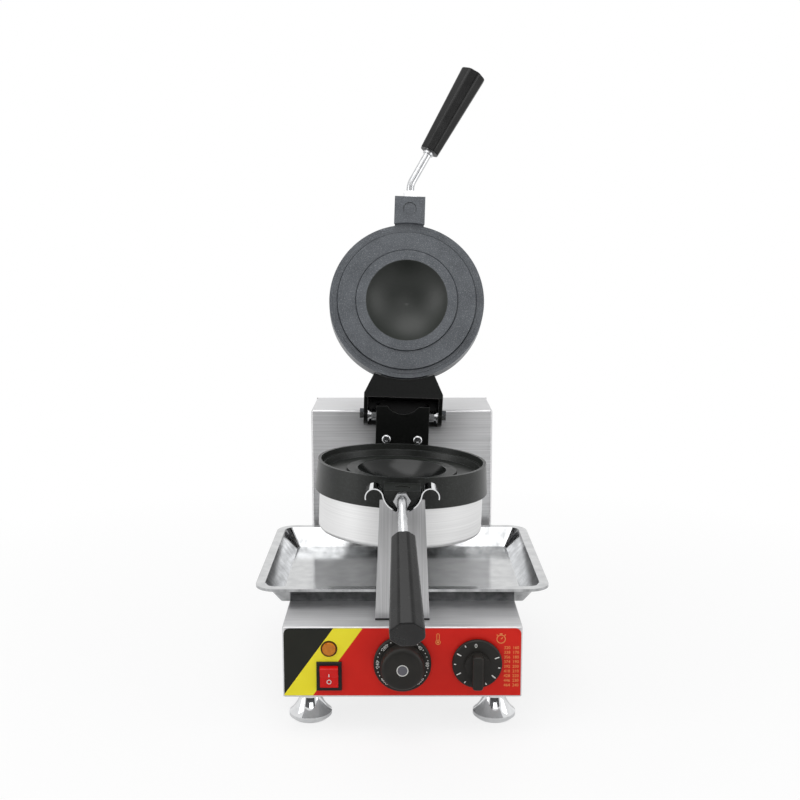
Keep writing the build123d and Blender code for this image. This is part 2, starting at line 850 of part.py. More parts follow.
def pan_underside(rim_out, bowl_low, depth):
    """Line from the middle of the bowl's underside out to the rim, shared by both pans."""
    floor = -floor_drop - plate_t
    ball = (bowl_r**2 + depth**2) / (2 * depth)
    centre = bowl_low + ball
    out_ball = ball + bowl_wall
    edge_r = sqrt(out_ball**2 - (centre - floor) ** 2)
    half = asin(edge_r / out_ball) / 2
    middle = (out_ball * sin(half), centre - out_ball * cos(half))
    ThreePointArc((0, bowl_low - bowl_wall), middle, (edge_r, floor))
    skirt_in = cover_r + fit_gap
    Polyline((edge_r, floor), (skirt_in, floor), (skirt_in, -skirt_h), (skirt_r, -skirt_h), (rim_out, 0))


def boss_and_bore(pan, bowl_low):
    """Add the boss under the bowl and the blind hole that takes the cover's bolt."""
    low = rim_z + bowl_low - bowl_wall
    pan += post(cover_boss_r, low - cover_boss_h, low + 2, 0, pan_y)
    return pan - post(cover_bolt_r + running_gap, low - cover_boss_h - 1, low - 1, 0, pan_y)


def pan_lug(front, level):
    """Half-round lug in front of a pan, cut to meet the skirt."""
    half = spindle(lug_r, front, pan_y, 0, axis_z)
    half -= block(-lug_r, lug_r, front - 1, pan_y + 1, level, axis_z + lug_r + 1)
    return half - post(lid_rim_r - 2, axis_z - 50, axis_z + 50, 0, pan_y)


def lug_holes(lug_top):
    """Upright hole for the barrel nut and level hole for the handle's rod."""
    y = lug_y + barrel_set
    low = lug_top - barrel_sunk - barrel_l - fit_gap
    upright = post(barrel_r + barrel_gap, low, lug_top + 1, 0, y)
    z = axis_z - handle_drop
    return upright + spindle(handle_rod_r + running_gap, lug_y - 1, y + barrel_r + 4, 0, z)


def lower_pan_closed():
    with BuildSketch() as profile:
        with BuildLine():
            pan_underside(rim_r, lower_bowl_low, bowl_depth)
            wall_in = rim_r - rim_w
            brim = -floor_drop + ring_h
            ledge = (wall_in - ledge_w, -ledge_drop)
            Polyline((rim_r, 0), (wall_in, 0), (wall_in - draft, -ledge_drop), ledge, (floor_r, -floor_drop))
            Polyline((floor_r, -floor_drop), (ring_out_r + draft, -floor_drop), (ring_out_r - draft, brim))
            Line((ring_out_r - draft, brim), (bowl_r, brim))
            bowl_arc(bowl_r, bowl_depth, brim)
            Line((0, lower_bowl_low), (0, lower_bowl_low - bowl_wall))
        make_face()
    pan = lathe(profile.sketch, pan_y, rim_z)
    pan += pan_lug(lug_y, axis_z - lug_gap / 2)
    pan -= lug_holes(axis_z - lug_gap / 2)
    half = pan_arm_w / 2
    arm = block(-half, half, pan_y, bracket_y, axis_z - pan_arm_low, axis_z - pan_arm_high)
    arm = fillet(arm.edges().filter_by(Axis.Y), 4.0)
    arm -= post(lid_rim_r - 2, axis_z - 60, axis_z + 50, 0, pan_y)
    pan += arm
    for side in (-1, 1):
        bolt = spindle(
            pan_bolt_r + running_gap, bracket_y - pan_bolt_grip - 1, bracket_y + 1, side * pan_bolt_x,
            axis_z - pan_bolt_drop
        )
        pan -= bolt
    return boss_and_bore(pan, lower_bowl_low)


def upper_pan_upright():
    """Lid casting drawn face up in the lower pan's place, before it is flipped onto it."""
    with BuildSketch() as profile:
        with BuildLine():
            pan_underside(lid_rim_r, lid_bowl_low, lid_bowl_depth)
            brim = plug_h + lid_ring_h
            step = (lid_step_r - draft, lid_step_h)
            Polyline((lid_rim_r, 0), (lid_step_r, 0), step, (plug_r + groove_w, lid_step_h))
            Polyline((plug_r + groove_w, lid_step_h), (plug_r, lid_step_h - groove_depth), (plug_r, plug_h))
            Polyline((plug_r, plug_h), (ring_out_r + groove_w, plug_h), (ring_out_r, plug_h - groove_depth))
            Polyline((ring_out_r, plug_h - groove_depth), (ring_out_r, brim), (bowl_r, brim))
            bowl_arc(bowl_r, lid_bowl_depth, brim)
            Line((0, lid_bowl_low), (0, lid_bowl_low - bowl_wall))
        make_face()
    pan = lathe(profile.sketch, pan_y, rim_z)
    return boss_and_bore(pan, lid_bowl_low)


def onto_lid(shape):
    """Place a piece drawn for an upright pan onto the closed lid."""
    meeting = rim_z + lug_gap / 2
    return mirror(shape, Plane(origin=(0, 0, meeting), z_dir=(0, 0, 1)))


def upper_pan_closed():
    pan = onto_lid(upper_pan_upright())
    level = axis_z - lug_gap / 2
    lug = pan_lug(lug_y, level) - lug_holes(level)
    lug = mirror(lug, lug_plane)
    pan += lug - post(skirt_r + slip_gap, axis_z, rim_z + lug_gap, 0, pan_y)
    plate_top = yoke_plate_z() + yoke_t
    half = lid_boss_w / 2
    boss_y = pan_y + skirt_r + lid_boss_d - 6
    boss = block(-half, half, pan_y, boss_y, plate_top, plate_top + lid_boss_h)
    boss = fillet(boss.edges().filter_by(Axis.Z), 3.0)
    boss -= post(lid_rim_r - 2, axis_z - 60, axis_z + 100, 0, pan_y)
    pan += boss
    for side in (-1, 1):
        x, y = side * lid_bolt_x, lid_bolt_y()
        pan -= post(lid_bolt_r + fit_gap, plate_top - 1, plate_top + lid_boss_h + 1, x, y)
    return pan


def lid_bolt_y():
    return pan_y + skirt_r + lid_boss_d / 2 - 3


def yoke_plate_z():
    return hinge_z - yoke_low


def make_cover_closed():
    low = -skirt_h - cover_h
    top = -skirt_h + cover_lap
    can = post(cover_r, low, top)
    can = fillet(can.faces().sort_by(Axis.Z)[0].edges(), cover_edge_r)
    hollow = post(cover_r - cover_t, low + cover_t, top + 1)
    hollow = fillet(hollow.faces().sort_by(Axis.Z)[0].edges(), cover_edge_r - cover_t)
    can = can - hollow - post(cover_bolt_r + fit_gap, low - 1, low + cover_t + 1)
    return Pos(0, pan_y, rim_z) * can


def make_cover_bolt_closed(bowl_low):
    low = -skirt_h - cover_h
    tip = bowl_low - bowl_wall - 2
    head = Pos(0, 0, low - cover_bolt_head) * hexagon(cover_bolt_af, cover_bolt_head)
    return Pos(0, pan_y, rim_z) * (post(cover_bolt_r, low, tip) + head)


def make_insulation_closed():
    low = -skirt_h - cover_h + cover_t + fit_gap
    disc = post(cover_r - cover_t - cover_edge_r, low, low + insulation_t)
    return Pos(0, pan_y, rim_z) * (disc - post(cover_bolt_r + fit_gap, low - 1, low + insulation_t + 1))


def make_heater_closed():
    z = -floor_drop - plate_t - heater_tube_r - fit_gap
    sweep = Pos(0, 0, z) * Torus(heater_r, heater_tube_r)
    gap = block(-9, 9, 0, heater_r + 10, z - 10, z + 10)
    ends = [post(heater_tube_r - 0.5, z - 16, z, side * 11, sqrt(heater_r**2 - 121)) for side in (-1, 1)]
    ring = sweep - gap
    for end in ends:
        ring += end
    return Pos(0, pan_y, rim_z) * ring


# Handles, drawn with the rod's axis on -Y from the lug's front face and the bend down
def along_rod(bend, length):
    """Point on the bent part of the rod's axis, at a length from its corner, as (y, z)."""
    turn = radians(bend)
    return (-handle_bend_at - length * cos(turn), -length * sin(turn))


def rod_plane(bend, length):
    """Plane across the bent rod that looks away from the lug."""
    turn = radians(bend)
    y, z = along_rod(bend, length)
    return Plane(origin=(0, y, z), x_dir=(1, 0, 0), z_dir=(0, -cos(turn), -sin(turn)))


def handle_rod(bend):
    into = barrel_set + barrel_r + 2
    inside = along_rod(bend, handle_rod_l + grip_bore_l - 2)
    path = FilletPolyline((into, 0), (-handle_bend_at, 0), inside, radius=handle_bend_r)
    wire = Plane(origin=(0, 0, 0), x_dir=(0, 1, 0), z_dir=(1, 0, 0)) * path
    section = Plane(origin=(0, into, 0), z_dir=(0, -1, 0)) * Circle(handle_rod_r)
    rod = sweep(section, path=wire)
    for ring in range(thread_count):
        y = -nut_h - (ring + 1) * thread_pitch
        groove = spindle(handle_rod_r + 1, y - thread_pitch / 4, y + thread_pitch / 4)
        rod -= groove - spindle(handle_rod_r - thread_depth, y - thread_pitch, y + thread_pitch)
    return rod + rod_plane(bend, handle_rod_l) * post(ferrule_r, -ferrule_l, 0)


def handle_grip(bend):
    near = RegularPolygon(grip_w_near / 2, 8, major_radius=False, rotation=22.5)
    far = RegularPolygon(grip_w_far / 2, 8, major_radius=False, rotation=22.5)
    near = fillet(near.vertices(), grip_corner_r)
    far = fillet(far.vertices(), grip_corner_r * grip_w_far / grip_w_near)
    body = loft([near, Pos(0, 0, grip_l) * far])
    ends = body.faces().sort_by(Axis.Z)
    body = fillet(ends[0].edges() + ends[-1].edges(), grip_edge_r)
    body -= post(handle_rod_r + fit_gap, -1, grip_bore_l)
    return rod_plane(bend, handle_rod_l) * body


def handle_nut():
    nut = Rot(90, 0, 0) * hexagon(nut_af, nut_h)
    return nut - spindle(handle_rod_r + fit_gap, -nut_h - 1, 1)


def place_lower(shape):
    rolled = shape.rotate(Axis.Y, -handle_lower_roll)
    return turned(Pos(0, lug_y, axis_z - handle_drop) * rolled)


def place_upper(shape):
    upright = mirror(shape, Plane.XY)
    rolled = upright.rotate(Axis.Y, handle_upper_roll)
    return opened(Pos(0, lug_y, axis_z + handle_drop) * rolled)


def barrel_nut_closed():
    top = axis_z - lug_gap / 2 - barrel_sunk
    y = lug_y + barrel_set
    plug = post(barrel_r, top - barrel_l, top, 0, y)
    out = barrel_r + 1
    return plug - spindle(handle_rod_r + fit_gap, y - out, y + out, 0, axis_z - handle_drop)


# Bracket, hinge and yoke
def make_bracket_closed():
    half = bracket_w / 2
    low, high = axis_z - bracket_low + hinge_rise, hinge_z + bracket_high
    plate = block(-half, half, bracket_y, bracket_y + bracket_t, low, high)
    notch_r = ((bracket_notch_w / 2) ** 2 + bracket_notch_h**2) / (2 * bracket_notch_h)
    plate -= spindle(notch_r, bracket_y - 1, bracket_y + bracket_t + 1, 0, high + notch_r - bracket_notch_h)
    back = hinge_y + bracket_back
    root_y, root_z = hinge_y + stop_root_y, hinge_z - stop_root_drop
    cheek = make_face(
        Polyline(
            (bracket_y, low), (flange_back, low), (flange_back, root_z - stop_root_h), (root_y, root_z),
            stop_corner(), (back, root_z + stop_root_h), (back, hinge_z + bracket_back),
            (back - bracket_nose, high), (bracket_y, high), close=True
        )
    )
    for side in (-1, 1):
        x0, x1 = sorted((side * half, side * (half - bracket_t)))
        plate += side_profile(cheek, x0, x1)
    plate -= crossbar(hinge_bolt_r + fit_gap, -half - 1, half + 1, hinge_y, hinge_z)
    for side in (-1, 1):
        z = axis_z + bracket_screw_rise
        plate -= spindle(bracket_screw_r + fit_gap, bracket_y - 1, bracket_y + 5, side * bracket_screw_x, z)
        z = axis_z - pan_bolt_drop
        plate -= spindle(pan_bolt_r + fit_gap, bracket_y - 1, bracket_y + 5, side * pan_bolt_x, z)
    return plate


def stop_corner():
    """Corner of the stop behind the hinge, where the open yoke's cap comes to rest."""
    reach = (yoke_high - yoke_cap_t) / cos(radians(stop_from_plate)) - slip_gap
    down = radians(lid_open - 90 + stop_from_plate)
    return (hinge_y + reach * cos(down), hinge_z - reach * sin(down))


def make_bracket_screws():
    screws = []
    for side in (-1, 1):
        x, z = side * bracket_screw_x, axis_z + bracket_screw_rise
        shank = spindle(bracket_screw_r, bracket_y, flange_back - 1, x, z)
        head = spindle(bracket_screw_head_r, bracket_y - bracket_screw_head, bracket_y, x, z)
        head = fillet(head.faces().sort_by(Axis.Y)[0].edges(), bracket_screw_head * 0.7)
        socket = Pos(x, bracket_y - bracket_screw_head + 2, z) * Rot(90, 0, 0) * hexagon(5.0, 3)
        screws.append(turned(shank + head - socket))
    return screws


def make_pan_bolts():
    bolts = []
    for side in (-1, 1):
        x, z = side * pan_bolt_x, axis_z - pan_bolt_drop
        shank = spindle(pan_bolt_r, bracket_y - pan_bolt_grip, flange_back, x, z)
        head = Pos(x, flange_back + pan_bolt_head, z) * Rot(90, 0, 0) * hexagon(pan_bolt_af, pan_bolt_head)
        bolts.append(turned(shank + head))
    return bolts


def ear_out():
    return yoke_w / 2


def ear_in():
    return yoke_w / 2 - yoke_t


def make_hinge_bolts():
    bolts = []
    tip = bracket_w / 2 - bracket_t - hinge_nut_h - 2
    for side in (-1, 1):
        x0, x1 = sorted((side * tip, side * (ear_out() + fit_gap)))
        bolt = crossbar(hinge_bolt_r, x0, x1, hinge_y, hinge_z)
        head = Rot(0, 90 * side, 0) * hexagon(hinge_bolt_af, hinge_bolt_head)
        bolts.append(turned(bolt + Pos(side * (ear_out() + fit_gap), hinge_y, hinge_z) * head))
    return bolts


def make_hinge_nuts():
    nuts = []
    for side in (-1, 1):
        for start in (bracket_w / 2, bracket_w / 2 - bracket_t - hinge_nut_h):
            nut = hexagon(hinge_bolt_af, hinge_nut_h) - post(hinge_bolt_r + fit_gap, -1, hinge_nut_h + 1)
            x = side * start
            nuts.append(turned(Pos(x, hinge_y, hinge_z) * Rot(0, 90 * side, 0) * nut))
    return nuts


def make_hinge_spacers():
    spacers = []
    start = bracket_w / 2 + hinge_nut_h
    for side in (-1, 1):
        x0, x1 = sorted((side * start, side * (ear_in() - slip_gap)))
        rim_x = sorted((side * (ear_in() - slip_gap - hinge_washer_t), side * (ear_in() - slip_gap)))
        tube = crossbar(hinge_bolt_r + 2, x0, x1, hinge_y, hinge_z)
        tube += crossbar(hinge_bolt_r + 5, rim_x[0], rim_x[1], hinge_y, hinge_z)
        tube -= crossbar(hinge_bolt_r + fit_gap, x0 - 1, x1 + 1, hinge_y, hinge_z)
        spacers.append(turned(tube))
    return spacers


def make_yoke_closed():
    half = yoke_w / 2
    low = yoke_plate_z()
    high = hinge_z + yoke_high
    web = block(-half, half, yoke_y, yoke_y + yoke_t, low, high)
    neck_x, neck_y = yoke_neck_w / 2, pan_y + lid_rim_r - 10
    neck = make_face(
        Polyline((-neck_x, neck_y), (neck_x, neck_y), (half, yoke_y), (-half, yoke_y), close=True)
    )
    plate = Pos(0, 0, low) * extrude(neck, yoke_t)
    plate -= post(skirt_r + fit_gap, low - 1, low + yoke_t + 1, 0, pan_y)
    cap_back = hinge_y + yoke_cap_back
    cap = block(-half, half, yoke_y, cap_back, high - yoke_cap_t, high)
    yoke = web + plate + cap
    ear = make_face(
        Polyline(
            (yoke_y, low), (yoke_y + yoke_t, low), (hinge_y, hinge_z - hinge_ear_r), (cap_back, hinge_z),
            (cap_back, high), (yoke_y, high), close=True
        )
    )
    ear += Pos(hinge_y, hinge_z) * Circle(hinge_ear_r)
    for side in (-1, 1):
        x0, x1 = sorted((side * ear_in(), side * ear_out()))
        yoke += side_profile(ear, x0, x1)
    yoke -= crossbar(hinge_bolt_r + running_gap, -half - 1, half + 1, hinge_y, hinge_z)
    for side in (-1, 1):
        yoke -= post(lid_bolt_r + fit_gap, low + 1.5, low + yoke_t + 1, side * lid_bolt_x, lid_bolt_y())
    return yoke


def make_lid_bolts():
    bolts = []
    top = yoke_plate_z() + yoke_t + lid_boss_h
    for side in (-1, 1):
        shank = post(lid_bolt_r, yoke_plate_z() + 2, top, side * lid_bolt_x, lid_bolt_y())
        head = Pos(side * lid_bolt_x, lid_bolt_y(), top) * hexagon(lid_bolt_af, lid_bolt_head)
        bolts.append(opened(shank + head))
    return bolts


def save(name, shape):
    if isinstance(shape, list):
        shape = Compound(children=shape)
    export_step(shape, f"parts/{name}.step")
    print(name, len(shape.solids()))


def main():
    os.makedirs("parts", exist_ok=True)
    save("base_shell", make_base_shell())
    save("bottom_plate", make_bottom_plate())
    save("cover_screws", make_floor_screws() + make_tower_screws() + make_column_screws())
    save("foot_nuts", make_foot_nuts())
    for row, y in zip(("front", "rear"), foot_ys):
        for side, x in (("left", -foot_x), ("right", foot_x)):
            save(f"foot_{row}_{side}", make_foot(x, y))
    save("front_overlay", make_overlay())
    save("switch_frame", make_switch_frame())
    save("rocker_button", make_rocker())
    save("lamp_lens", make_lamp_lens())
    save("lamp_body", make_lamp_body())
    save("thermostat_body", control_body(thermostat_x, thermostat_body_w, thermostat_body_l))
    save("thermostat_spindle", control_spindle(thermostat_x, thermostat_body_l, thermostat_grip_l))
    save("thermostat_knob", make_thermostat_knob())
    save("timer_body", control_body(timer_x, timer_body_w, timer_body_l))
    save("timer_spindle", control_spindle(timer_x, timer_body_l, timer_grip_l))
    save("timer_knob", make_timer_knob())
    save("terminal_block", make_terminal_block())
    save("cable_gland", make_cable_gland())
    save("tower_shell", make_tower_shell())
    save("tower_rear_cover", make_tower_cover())
    save("bearing_block", make_bearing_block())
    save("bearing_screws", make_bearing_screws())
    save("shaft_bushes", [make_bush(tower_y, 1), make_bush(bearing_end(), -1)])
    save("rotor_shaft", make_shaft())
    save("shaft_collar", make_shaft_collar())
    save("collar_screw", make_collar_screw())
    save("column", make_column())
    save("column_pad", make_column_pad())
    save("cradle_clip", make_cradle())
    save("cradle_rivet", make_cradle_rivet())
    save("drip_tray", make_tray())
    save("lower_pan", turned(lower_pan_closed()))
    save("lower_cover", turned(make_cover_closed()))
    save("lower_cover_bolt", turned(make_cover_bolt_closed(lower_bowl_low)))
    save("lower_insulation", turned(make_insulation_closed()))
    save("lower_heater", turned(make_heater_closed()))
    save("lower_barrel_nut", turned(barrel_nut_closed()))
    save("lower_handle_rod", place_lower(handle_rod(handle_bend)))
    save("lower_handle_nut", place_lower(handle_nut()))
    save("lower_grip", place_lower(handle_grip(handle_bend)))
    save("pan_bracket", turned(make_bracket_closed()))
    save("bracket_screws", make_bracket_screws())
    save("pan_bolts", make_pan_bolts())
    save("hinge_bolts", make_hinge_bolts())
    save("hinge_nuts", make_hinge_nuts())
    save("hinge_spacers", make_hinge_spacers())
    save("upper_pan", opened(upper_pan_closed()))
    save("upper_cover", opened(onto_lid(make_cover_closed())))
    save("upper_cover_bolt", opened(onto_lid(make_cover_bolt_closed(lid_bowl_low))))
    save("upper_insulation", opened(onto_lid(make_insulation_closed())))
    save("upper_heater", opened(onto_lid(make_heater_closed())))
    save("upper_barrel_nut", opened(mirror(barrel_nut_closed(), lug_plane)))
    save("upper_handle_rod", place_upper(handle_rod(handle_upper_bend)))
    save("upper_handle_nut", place_upper(handle_nut()))
    save("upper_grip", place_upper(handle_grip(handle_upper_bend)))
    save("lid_yoke", opened(make_yoke_closed()))
    save("lid_bolts", make_lid_bolts())


main()
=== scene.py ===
# %% [markdown]
# # A rotating press with a hinged lid
# The machine stands on four chrome legs. A folded steel box holds the controls, a tray catches
# drips, and two cast pans turn together between a spring cradle in front and a tower behind.
# The working parts come packed at their real size. This lesson dresses them: it gives every
# surface its finish, prints the front film, marks the dials, and lights the scene.

import json
from math import cos, radians, sin

import bmesh
import bpy
from mathutils import Matrix, Vector


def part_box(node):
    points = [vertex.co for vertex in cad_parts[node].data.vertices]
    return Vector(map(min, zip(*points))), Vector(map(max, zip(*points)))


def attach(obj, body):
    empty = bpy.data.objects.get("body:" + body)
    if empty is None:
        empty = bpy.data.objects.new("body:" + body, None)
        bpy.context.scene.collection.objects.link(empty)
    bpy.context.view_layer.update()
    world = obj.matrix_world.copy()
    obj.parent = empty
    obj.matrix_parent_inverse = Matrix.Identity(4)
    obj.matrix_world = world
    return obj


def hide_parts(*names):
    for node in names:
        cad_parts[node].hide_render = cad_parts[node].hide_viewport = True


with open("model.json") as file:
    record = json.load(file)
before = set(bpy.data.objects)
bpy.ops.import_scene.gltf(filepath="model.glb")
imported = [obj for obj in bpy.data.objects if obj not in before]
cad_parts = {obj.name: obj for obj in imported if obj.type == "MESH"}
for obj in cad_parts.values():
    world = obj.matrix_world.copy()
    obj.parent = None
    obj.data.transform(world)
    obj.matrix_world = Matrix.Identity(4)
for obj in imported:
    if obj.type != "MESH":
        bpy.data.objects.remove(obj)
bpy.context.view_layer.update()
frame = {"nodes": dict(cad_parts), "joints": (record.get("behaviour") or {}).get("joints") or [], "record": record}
nodes = frame["nodes"]
joints = {joint["name"]: joint for joint in frame["joints"]}
print("pieces in the frame:", len(nodes), "and joints:", len(joints))

# %% [markdown]
# Colours are read off the real thing as screen values, so they are written as hex. Shaders work
# in linear light, and one function turns the first into the second.

# %% Colours and sizes
MM = 0.001


def linear(code):
    """Turn an sRGB hex value into linear red, green, blue and full alpha."""
    parts = [int(code[i:i + 2], 16) / 255 for i in (1, 3, 5)]
    return [c / 12.92 if c <= 0.04045 else ((c + 0.055) / 1.055) ** 2.4 for c in parts] + [1.0]


print("middle grey in linear light:", round(linear("#808080")[0], 3))

# %% [markdown]
# A material is a small network. Building it by hand takes three lines for each node, so one
# function adds a node, sets its values, links whatever is already a socket, and hands back the
# output that the next node needs. A world has such a network too, and can be passed in its place.

# %% One function for every node
def fill(material, node, inputs):
    """Link each input that is given a socket, and set the others to their value."""
    for name, value in inputs.items():
        if isinstance(value, bpy.types.NodeSocket):
            material.node_tree.links.new(value, node.inputs[name])
        else:
            node.inputs[name].default_value = value


def add(material, kind, inputs=None, out=None, **settings):
    """Add a node, set its properties, fill its inputs, and give back one output or the node."""
    made = material.node_tree.nodes.new(kind)
    for name, value in settings.items():
        setattr(made, name, value)
    fill(material, made, inputs or {})
    return made.outputs[out] if out else made


def new_material(name):
    """Make a material and hand it back with its main shader."""
    made = bpy.data.materials.new(name)
    made.use_nodes = True
    return made, made.node_tree.nodes["Principled BSDF"]


# %% [markdown]
# Few surfaces are even. A real finish varies a little in colour, in polish and in height, over
# distances that its making sets, and the eye reads metal, paint or plastic from that. Pictures of
# real surfaces could show it, but they repeat and need unwrapping. Here each finish starts from a
# noise whose grain has a real size in millimetres, and one function lays it on the shader as
# colour, roughness and relief. Wear is found by the shader too: near a sharp edge, and only
# there, a rounded normal differs from the plain one.

# %% Grain, tones and wear
NOISE_LOW, NOISE_HIGH = 0.3, 0.7
EDGE_STARTS, EDGE_FULL = 0.995, 0.85
SHINE = "Specular IOR Level"


def stretched_noise(material, sizes_mm, detail=2.0, turn=(0, 0, 0)):
    """Noise whose grain is sizes_mm long in X, Y and Z of the piece, after an optional turn."""
    place = add(material, "ShaderNodeTexCoord", out="Object")
    turned = add(material, "ShaderNodeMapping", {"Vector": place, "Rotation": turn}, "Vector")
    grains = [1 / (size * MM) for size in sizes_mm]
    scaled = add(material, "ShaderNodeVectorMath", {0: turned, 1: grains}, "Vector", operation="MULTIPLY")
    return add(material, "ShaderNodeTexNoise", {"Vector": scaled, "Scale": 1.0, "Detail": detail}, "Fac")


def two_tone(material, pattern, low, high):
    """Run the middle of a noise, where most of it lies, between two hex colours."""
    middle = {"Value": pattern, "From Min": NOISE_LOW, "From Max": NOISE_HIGH}
    share = add(material, "ShaderNodeMapRange", middle, "Result")
    ends = {"Factor": share, "A": linear(low), "B": linear(high)}
    return add(material, "ShaderNodeMix", ends, "Result", data_type="RGBA")


def worn_edges(material, radius_mm):
    """Factor that is 1 at a sharp edge and falls to 0 within radius_mm of it."""
    rounded = add(material, "ShaderNodeBevel", {"Radius": radius_mm * MM}, "Normal")
    plain = add(material, "ShaderNodeNewGeometry", out="Normal")
    match = add(material, "ShaderNodeVectorMath", {0: rounded, 1: plain}, "Value", operation="DOT_PRODUCT")
    ends = {"Value": match, "From Min": EDGE_STARTS, "From Max": EDGE_FULL}
    return add(material, "ShaderNodeMapRange", ends, "Result")


def finish(material, shader, colour, roughness, relief=None, others=None):
    """Lay a colour, a roughness and a relief on a shader, and fill its other inputs.

    roughness is (pattern, smooth, rough), and relief is (pattern, depth in mm, strength).
    """
    pattern, smooth, rough = roughness
    ends = {"Value": pattern, "To Min": smooth, "To Max": rough}
    inputs = {"Base Color": colour, "Roughness": add(material, "ShaderNodeMapRange", ends, "Result")}
    if relief:
        height, depth_mm, strength = relief
        raised = {"Height": height, "Distance": depth_mm * MM, "Strength": strength}
        inputs["Normal"] = add(material, "ShaderNodeBump", raised, "Normal")
    fill(material, shader, inputs | (others or {}))


# %% [markdown]
# The box and the tower are stainless sheet, ground with a belt before folding. The belt leaves
# fine parallel scratches that blur reflections into soft bands across the grain. Real scratches
# are about 0.1 mm wide, too fine to show from a metre away, so they are drawn 1 mm wide.
# The grain runs across the front and the top, and from front to back on the sides. On the column
# under the cradle it runs up and down. A noise stretched along the grain draws them, and the
# folded sheet needs no unwrapping for it. Such scratches also draw a reflection out across the
# grain, which the shader's anisotropy does, round the axis that the grain follows.

# %% Belt-ground stainless sheet
SCRATCH_W, SCRATCH_L = 1.0, 90.0
LEVEL_GRAIN = (SCRATCH_L, SCRATCH_W, SCRATCH_W)
UPRIGHT_GRAIN = (SCRATCH_W, SCRATCH_W, SCRATCH_L)
DEEP_GRAIN = (SCRATCH_W, SCRATCH_L, SCRATCH_W)
SIDE_FACING = 0.7


def belt_ground_stainless(name, dark, light, smooth, rough, front_grain, around_axis):
    material, shader = new_material(name)
    front = stretched_noise(material, front_grain, 3.0)
    side = stretched_noise(material, DEEP_GRAIN, 3.0)
    facing = add(material, "ShaderNodeNewGeometry", out="Normal")
    sideways = add(material, "ShaderNodeSeparateXYZ", {"Vector": facing}, "X")
    steep = add(material, "ShaderNodeMath", {0: sideways}, "Value", operation="ABSOLUTE")
    on_side = add(material, "ShaderNodeMath", {0: steep, 1: SIDE_FACING}, "Value", operation="GREATER_THAN")
    both = {"Factor": on_side, "A": front, "B": side}
    grain = add(material, "ShaderNodeMix", both, "Result", data_type="FLOAT")
    around = add(material, "ShaderNodeTangent", out="Tangent", direction_type="RADIAL", axis=around_axis)
    finish(
        material, shader, two_tone(material, grain, dark, light), (grain, smooth, rough), (grain, 0.03, 0.5),
        {"Metallic": 0.95, "Anisotropic": 0.75, "Tangent": around}
    )
    return material


sheet_steel = belt_ground_stainless(
    "belt_ground_stainless", "#BCBCBD", "#D4D4D5", 0.3, 0.42, LEVEL_GRAIN, "X"
)
column_steel = belt_ground_stainless(
    "upright_ground_stainless", "#A2A2A3", "#BEBEBF", 0.28, 0.4, UPRIGHT_GRAIN, "Z"
)
print("made", sheet_steel.name, "and", column_steel.name)

# %% [markdown]
# The drip tray is thinner stainless, pressed from bright annealed strip. It reflects almost like
# a mirror, but years of wiping leave a faint haze and the pressing leaves long shallow waves.
# Where the sheet was drawn down over the die, its walls are streaked, and every steep face is painted greyer,
# which is painted shade on the tray's walls. The waves could be modelled, but they are so shallow that a bump in
# the shader shows them as well.

# %% Bright pressed stainless
SHADED_WALL_STARTS, SHADED_WALL_FULL = 0.98, 0.85


def bright_pressed_stainless():
    material, shader = new_material("bright_pressed_stainless")
    waves = stretched_noise(material, (70, 60, 30), 1.0)
    haze = stretched_noise(material, (14, 14, 14), 4.0)
    streaks = stretched_noise(material, (9, 9, 60), 4.0)
    # Steep faces are painted greyer: painted shade on the tray's walls, with the die's streaks in it.
    facing = add(material, "ShaderNodeNewGeometry", out="Normal")
    level = add(material, "ShaderNodeSeparateXYZ", {"Vector": facing}, "Z")
    ends = {"Value": level, "From Min": SHADED_WALL_STARTS, "From Max": SHADED_WALL_FULL}
    steep = add(material, "ShaderNodeMapRange", ends, "Result")
    floor_tone = two_tone(material, haze, "#BABBBC", "#CFD0D0")
    streaked_wall_tone_with_painted_shade = two_tone(material, streaks, "#8E8F90", "#BEBFC0")
    tones = {"Factor": steep, "A": floor_tone, "B": streaked_wall_tone_with_painted_shade}
    colour = add(material, "ShaderNodeMix", tones, "Result", data_type="RGBA")
    finish(material, shader, colour, (haze, 0.08, 0.18), (waves, 0.5, 0.5), {"Metallic": 1.0})
    return material


tray_steel = bright_pressed_stainless()
print("made", tray_steel.name)

# %% [markdown]
# Legs, cradle spring and hinge bolts are chrome plated and buffed: almost white, very sharp
# reflections, with a trace of haze so that they are not perfect mirrors. The other fasteners, the
# shaft, the spindles and the handle rods are zinc plated, which is duller. Heater sheaths go brown
# in use, and the shaft's bushes are sintered from bronze powder, with a dull open grain. They
# differ only in tone, gloss and grain, so one function makes all four.

# %% Buffed chrome, bright zinc and two bare metals
def plain_metal(name, low, high, smooth, rough, grain_mm):
    material, shader = new_material(name)
    haze = stretched_noise(material, (grain_mm, grain_mm, grain_mm), 3.0)
    finish(
        material, shader, two_tone(material, haze, low, high), (haze, smooth, rough),
        others={"Metallic": 1.0}
    )
    return material


chrome = plain_metal("buffed_chrome", "#D4D5D6", "#E2E3E4", 0.04, 0.1, 9)
zinc = plain_metal("bright_zinc_plate", "#B9BABC", "#CFD0D1", 0.2, 0.32, 5)
sheath = plain_metal("oxidised_heater_sheath", "#4A4744", "#6A6560", 0.4, 0.6, 4)
bronze = plain_metal("sintered_bronze", "#8C6B3E", "#A8854F", 0.4, 0.55, 2)
print("made", chrome.name, zinc.name, sheath.name, "and", bronze.name)

# %% [markdown]
# The two drums under and over the pans are spun aluminium, brushed while they turned. The
# brushing runs round the drum. A pattern could be wound round it by angle, but a noise sliced
# thinly along the drum's own axis gives the same rings and has no seam. The lid's drum stands
# open, so its grain is turned back to the closed place first.

# %% Spun and brushed aluminium
REST_TURN = 2.0
LID_OPEN = max(joints["lid_hinge"]["range_deg"])
rest_turn = Matrix.Rotation(radians(REST_TURN), 3, "Y")
lid_lift = Matrix.Rotation(radians(-LID_OPEN), 3, "X")


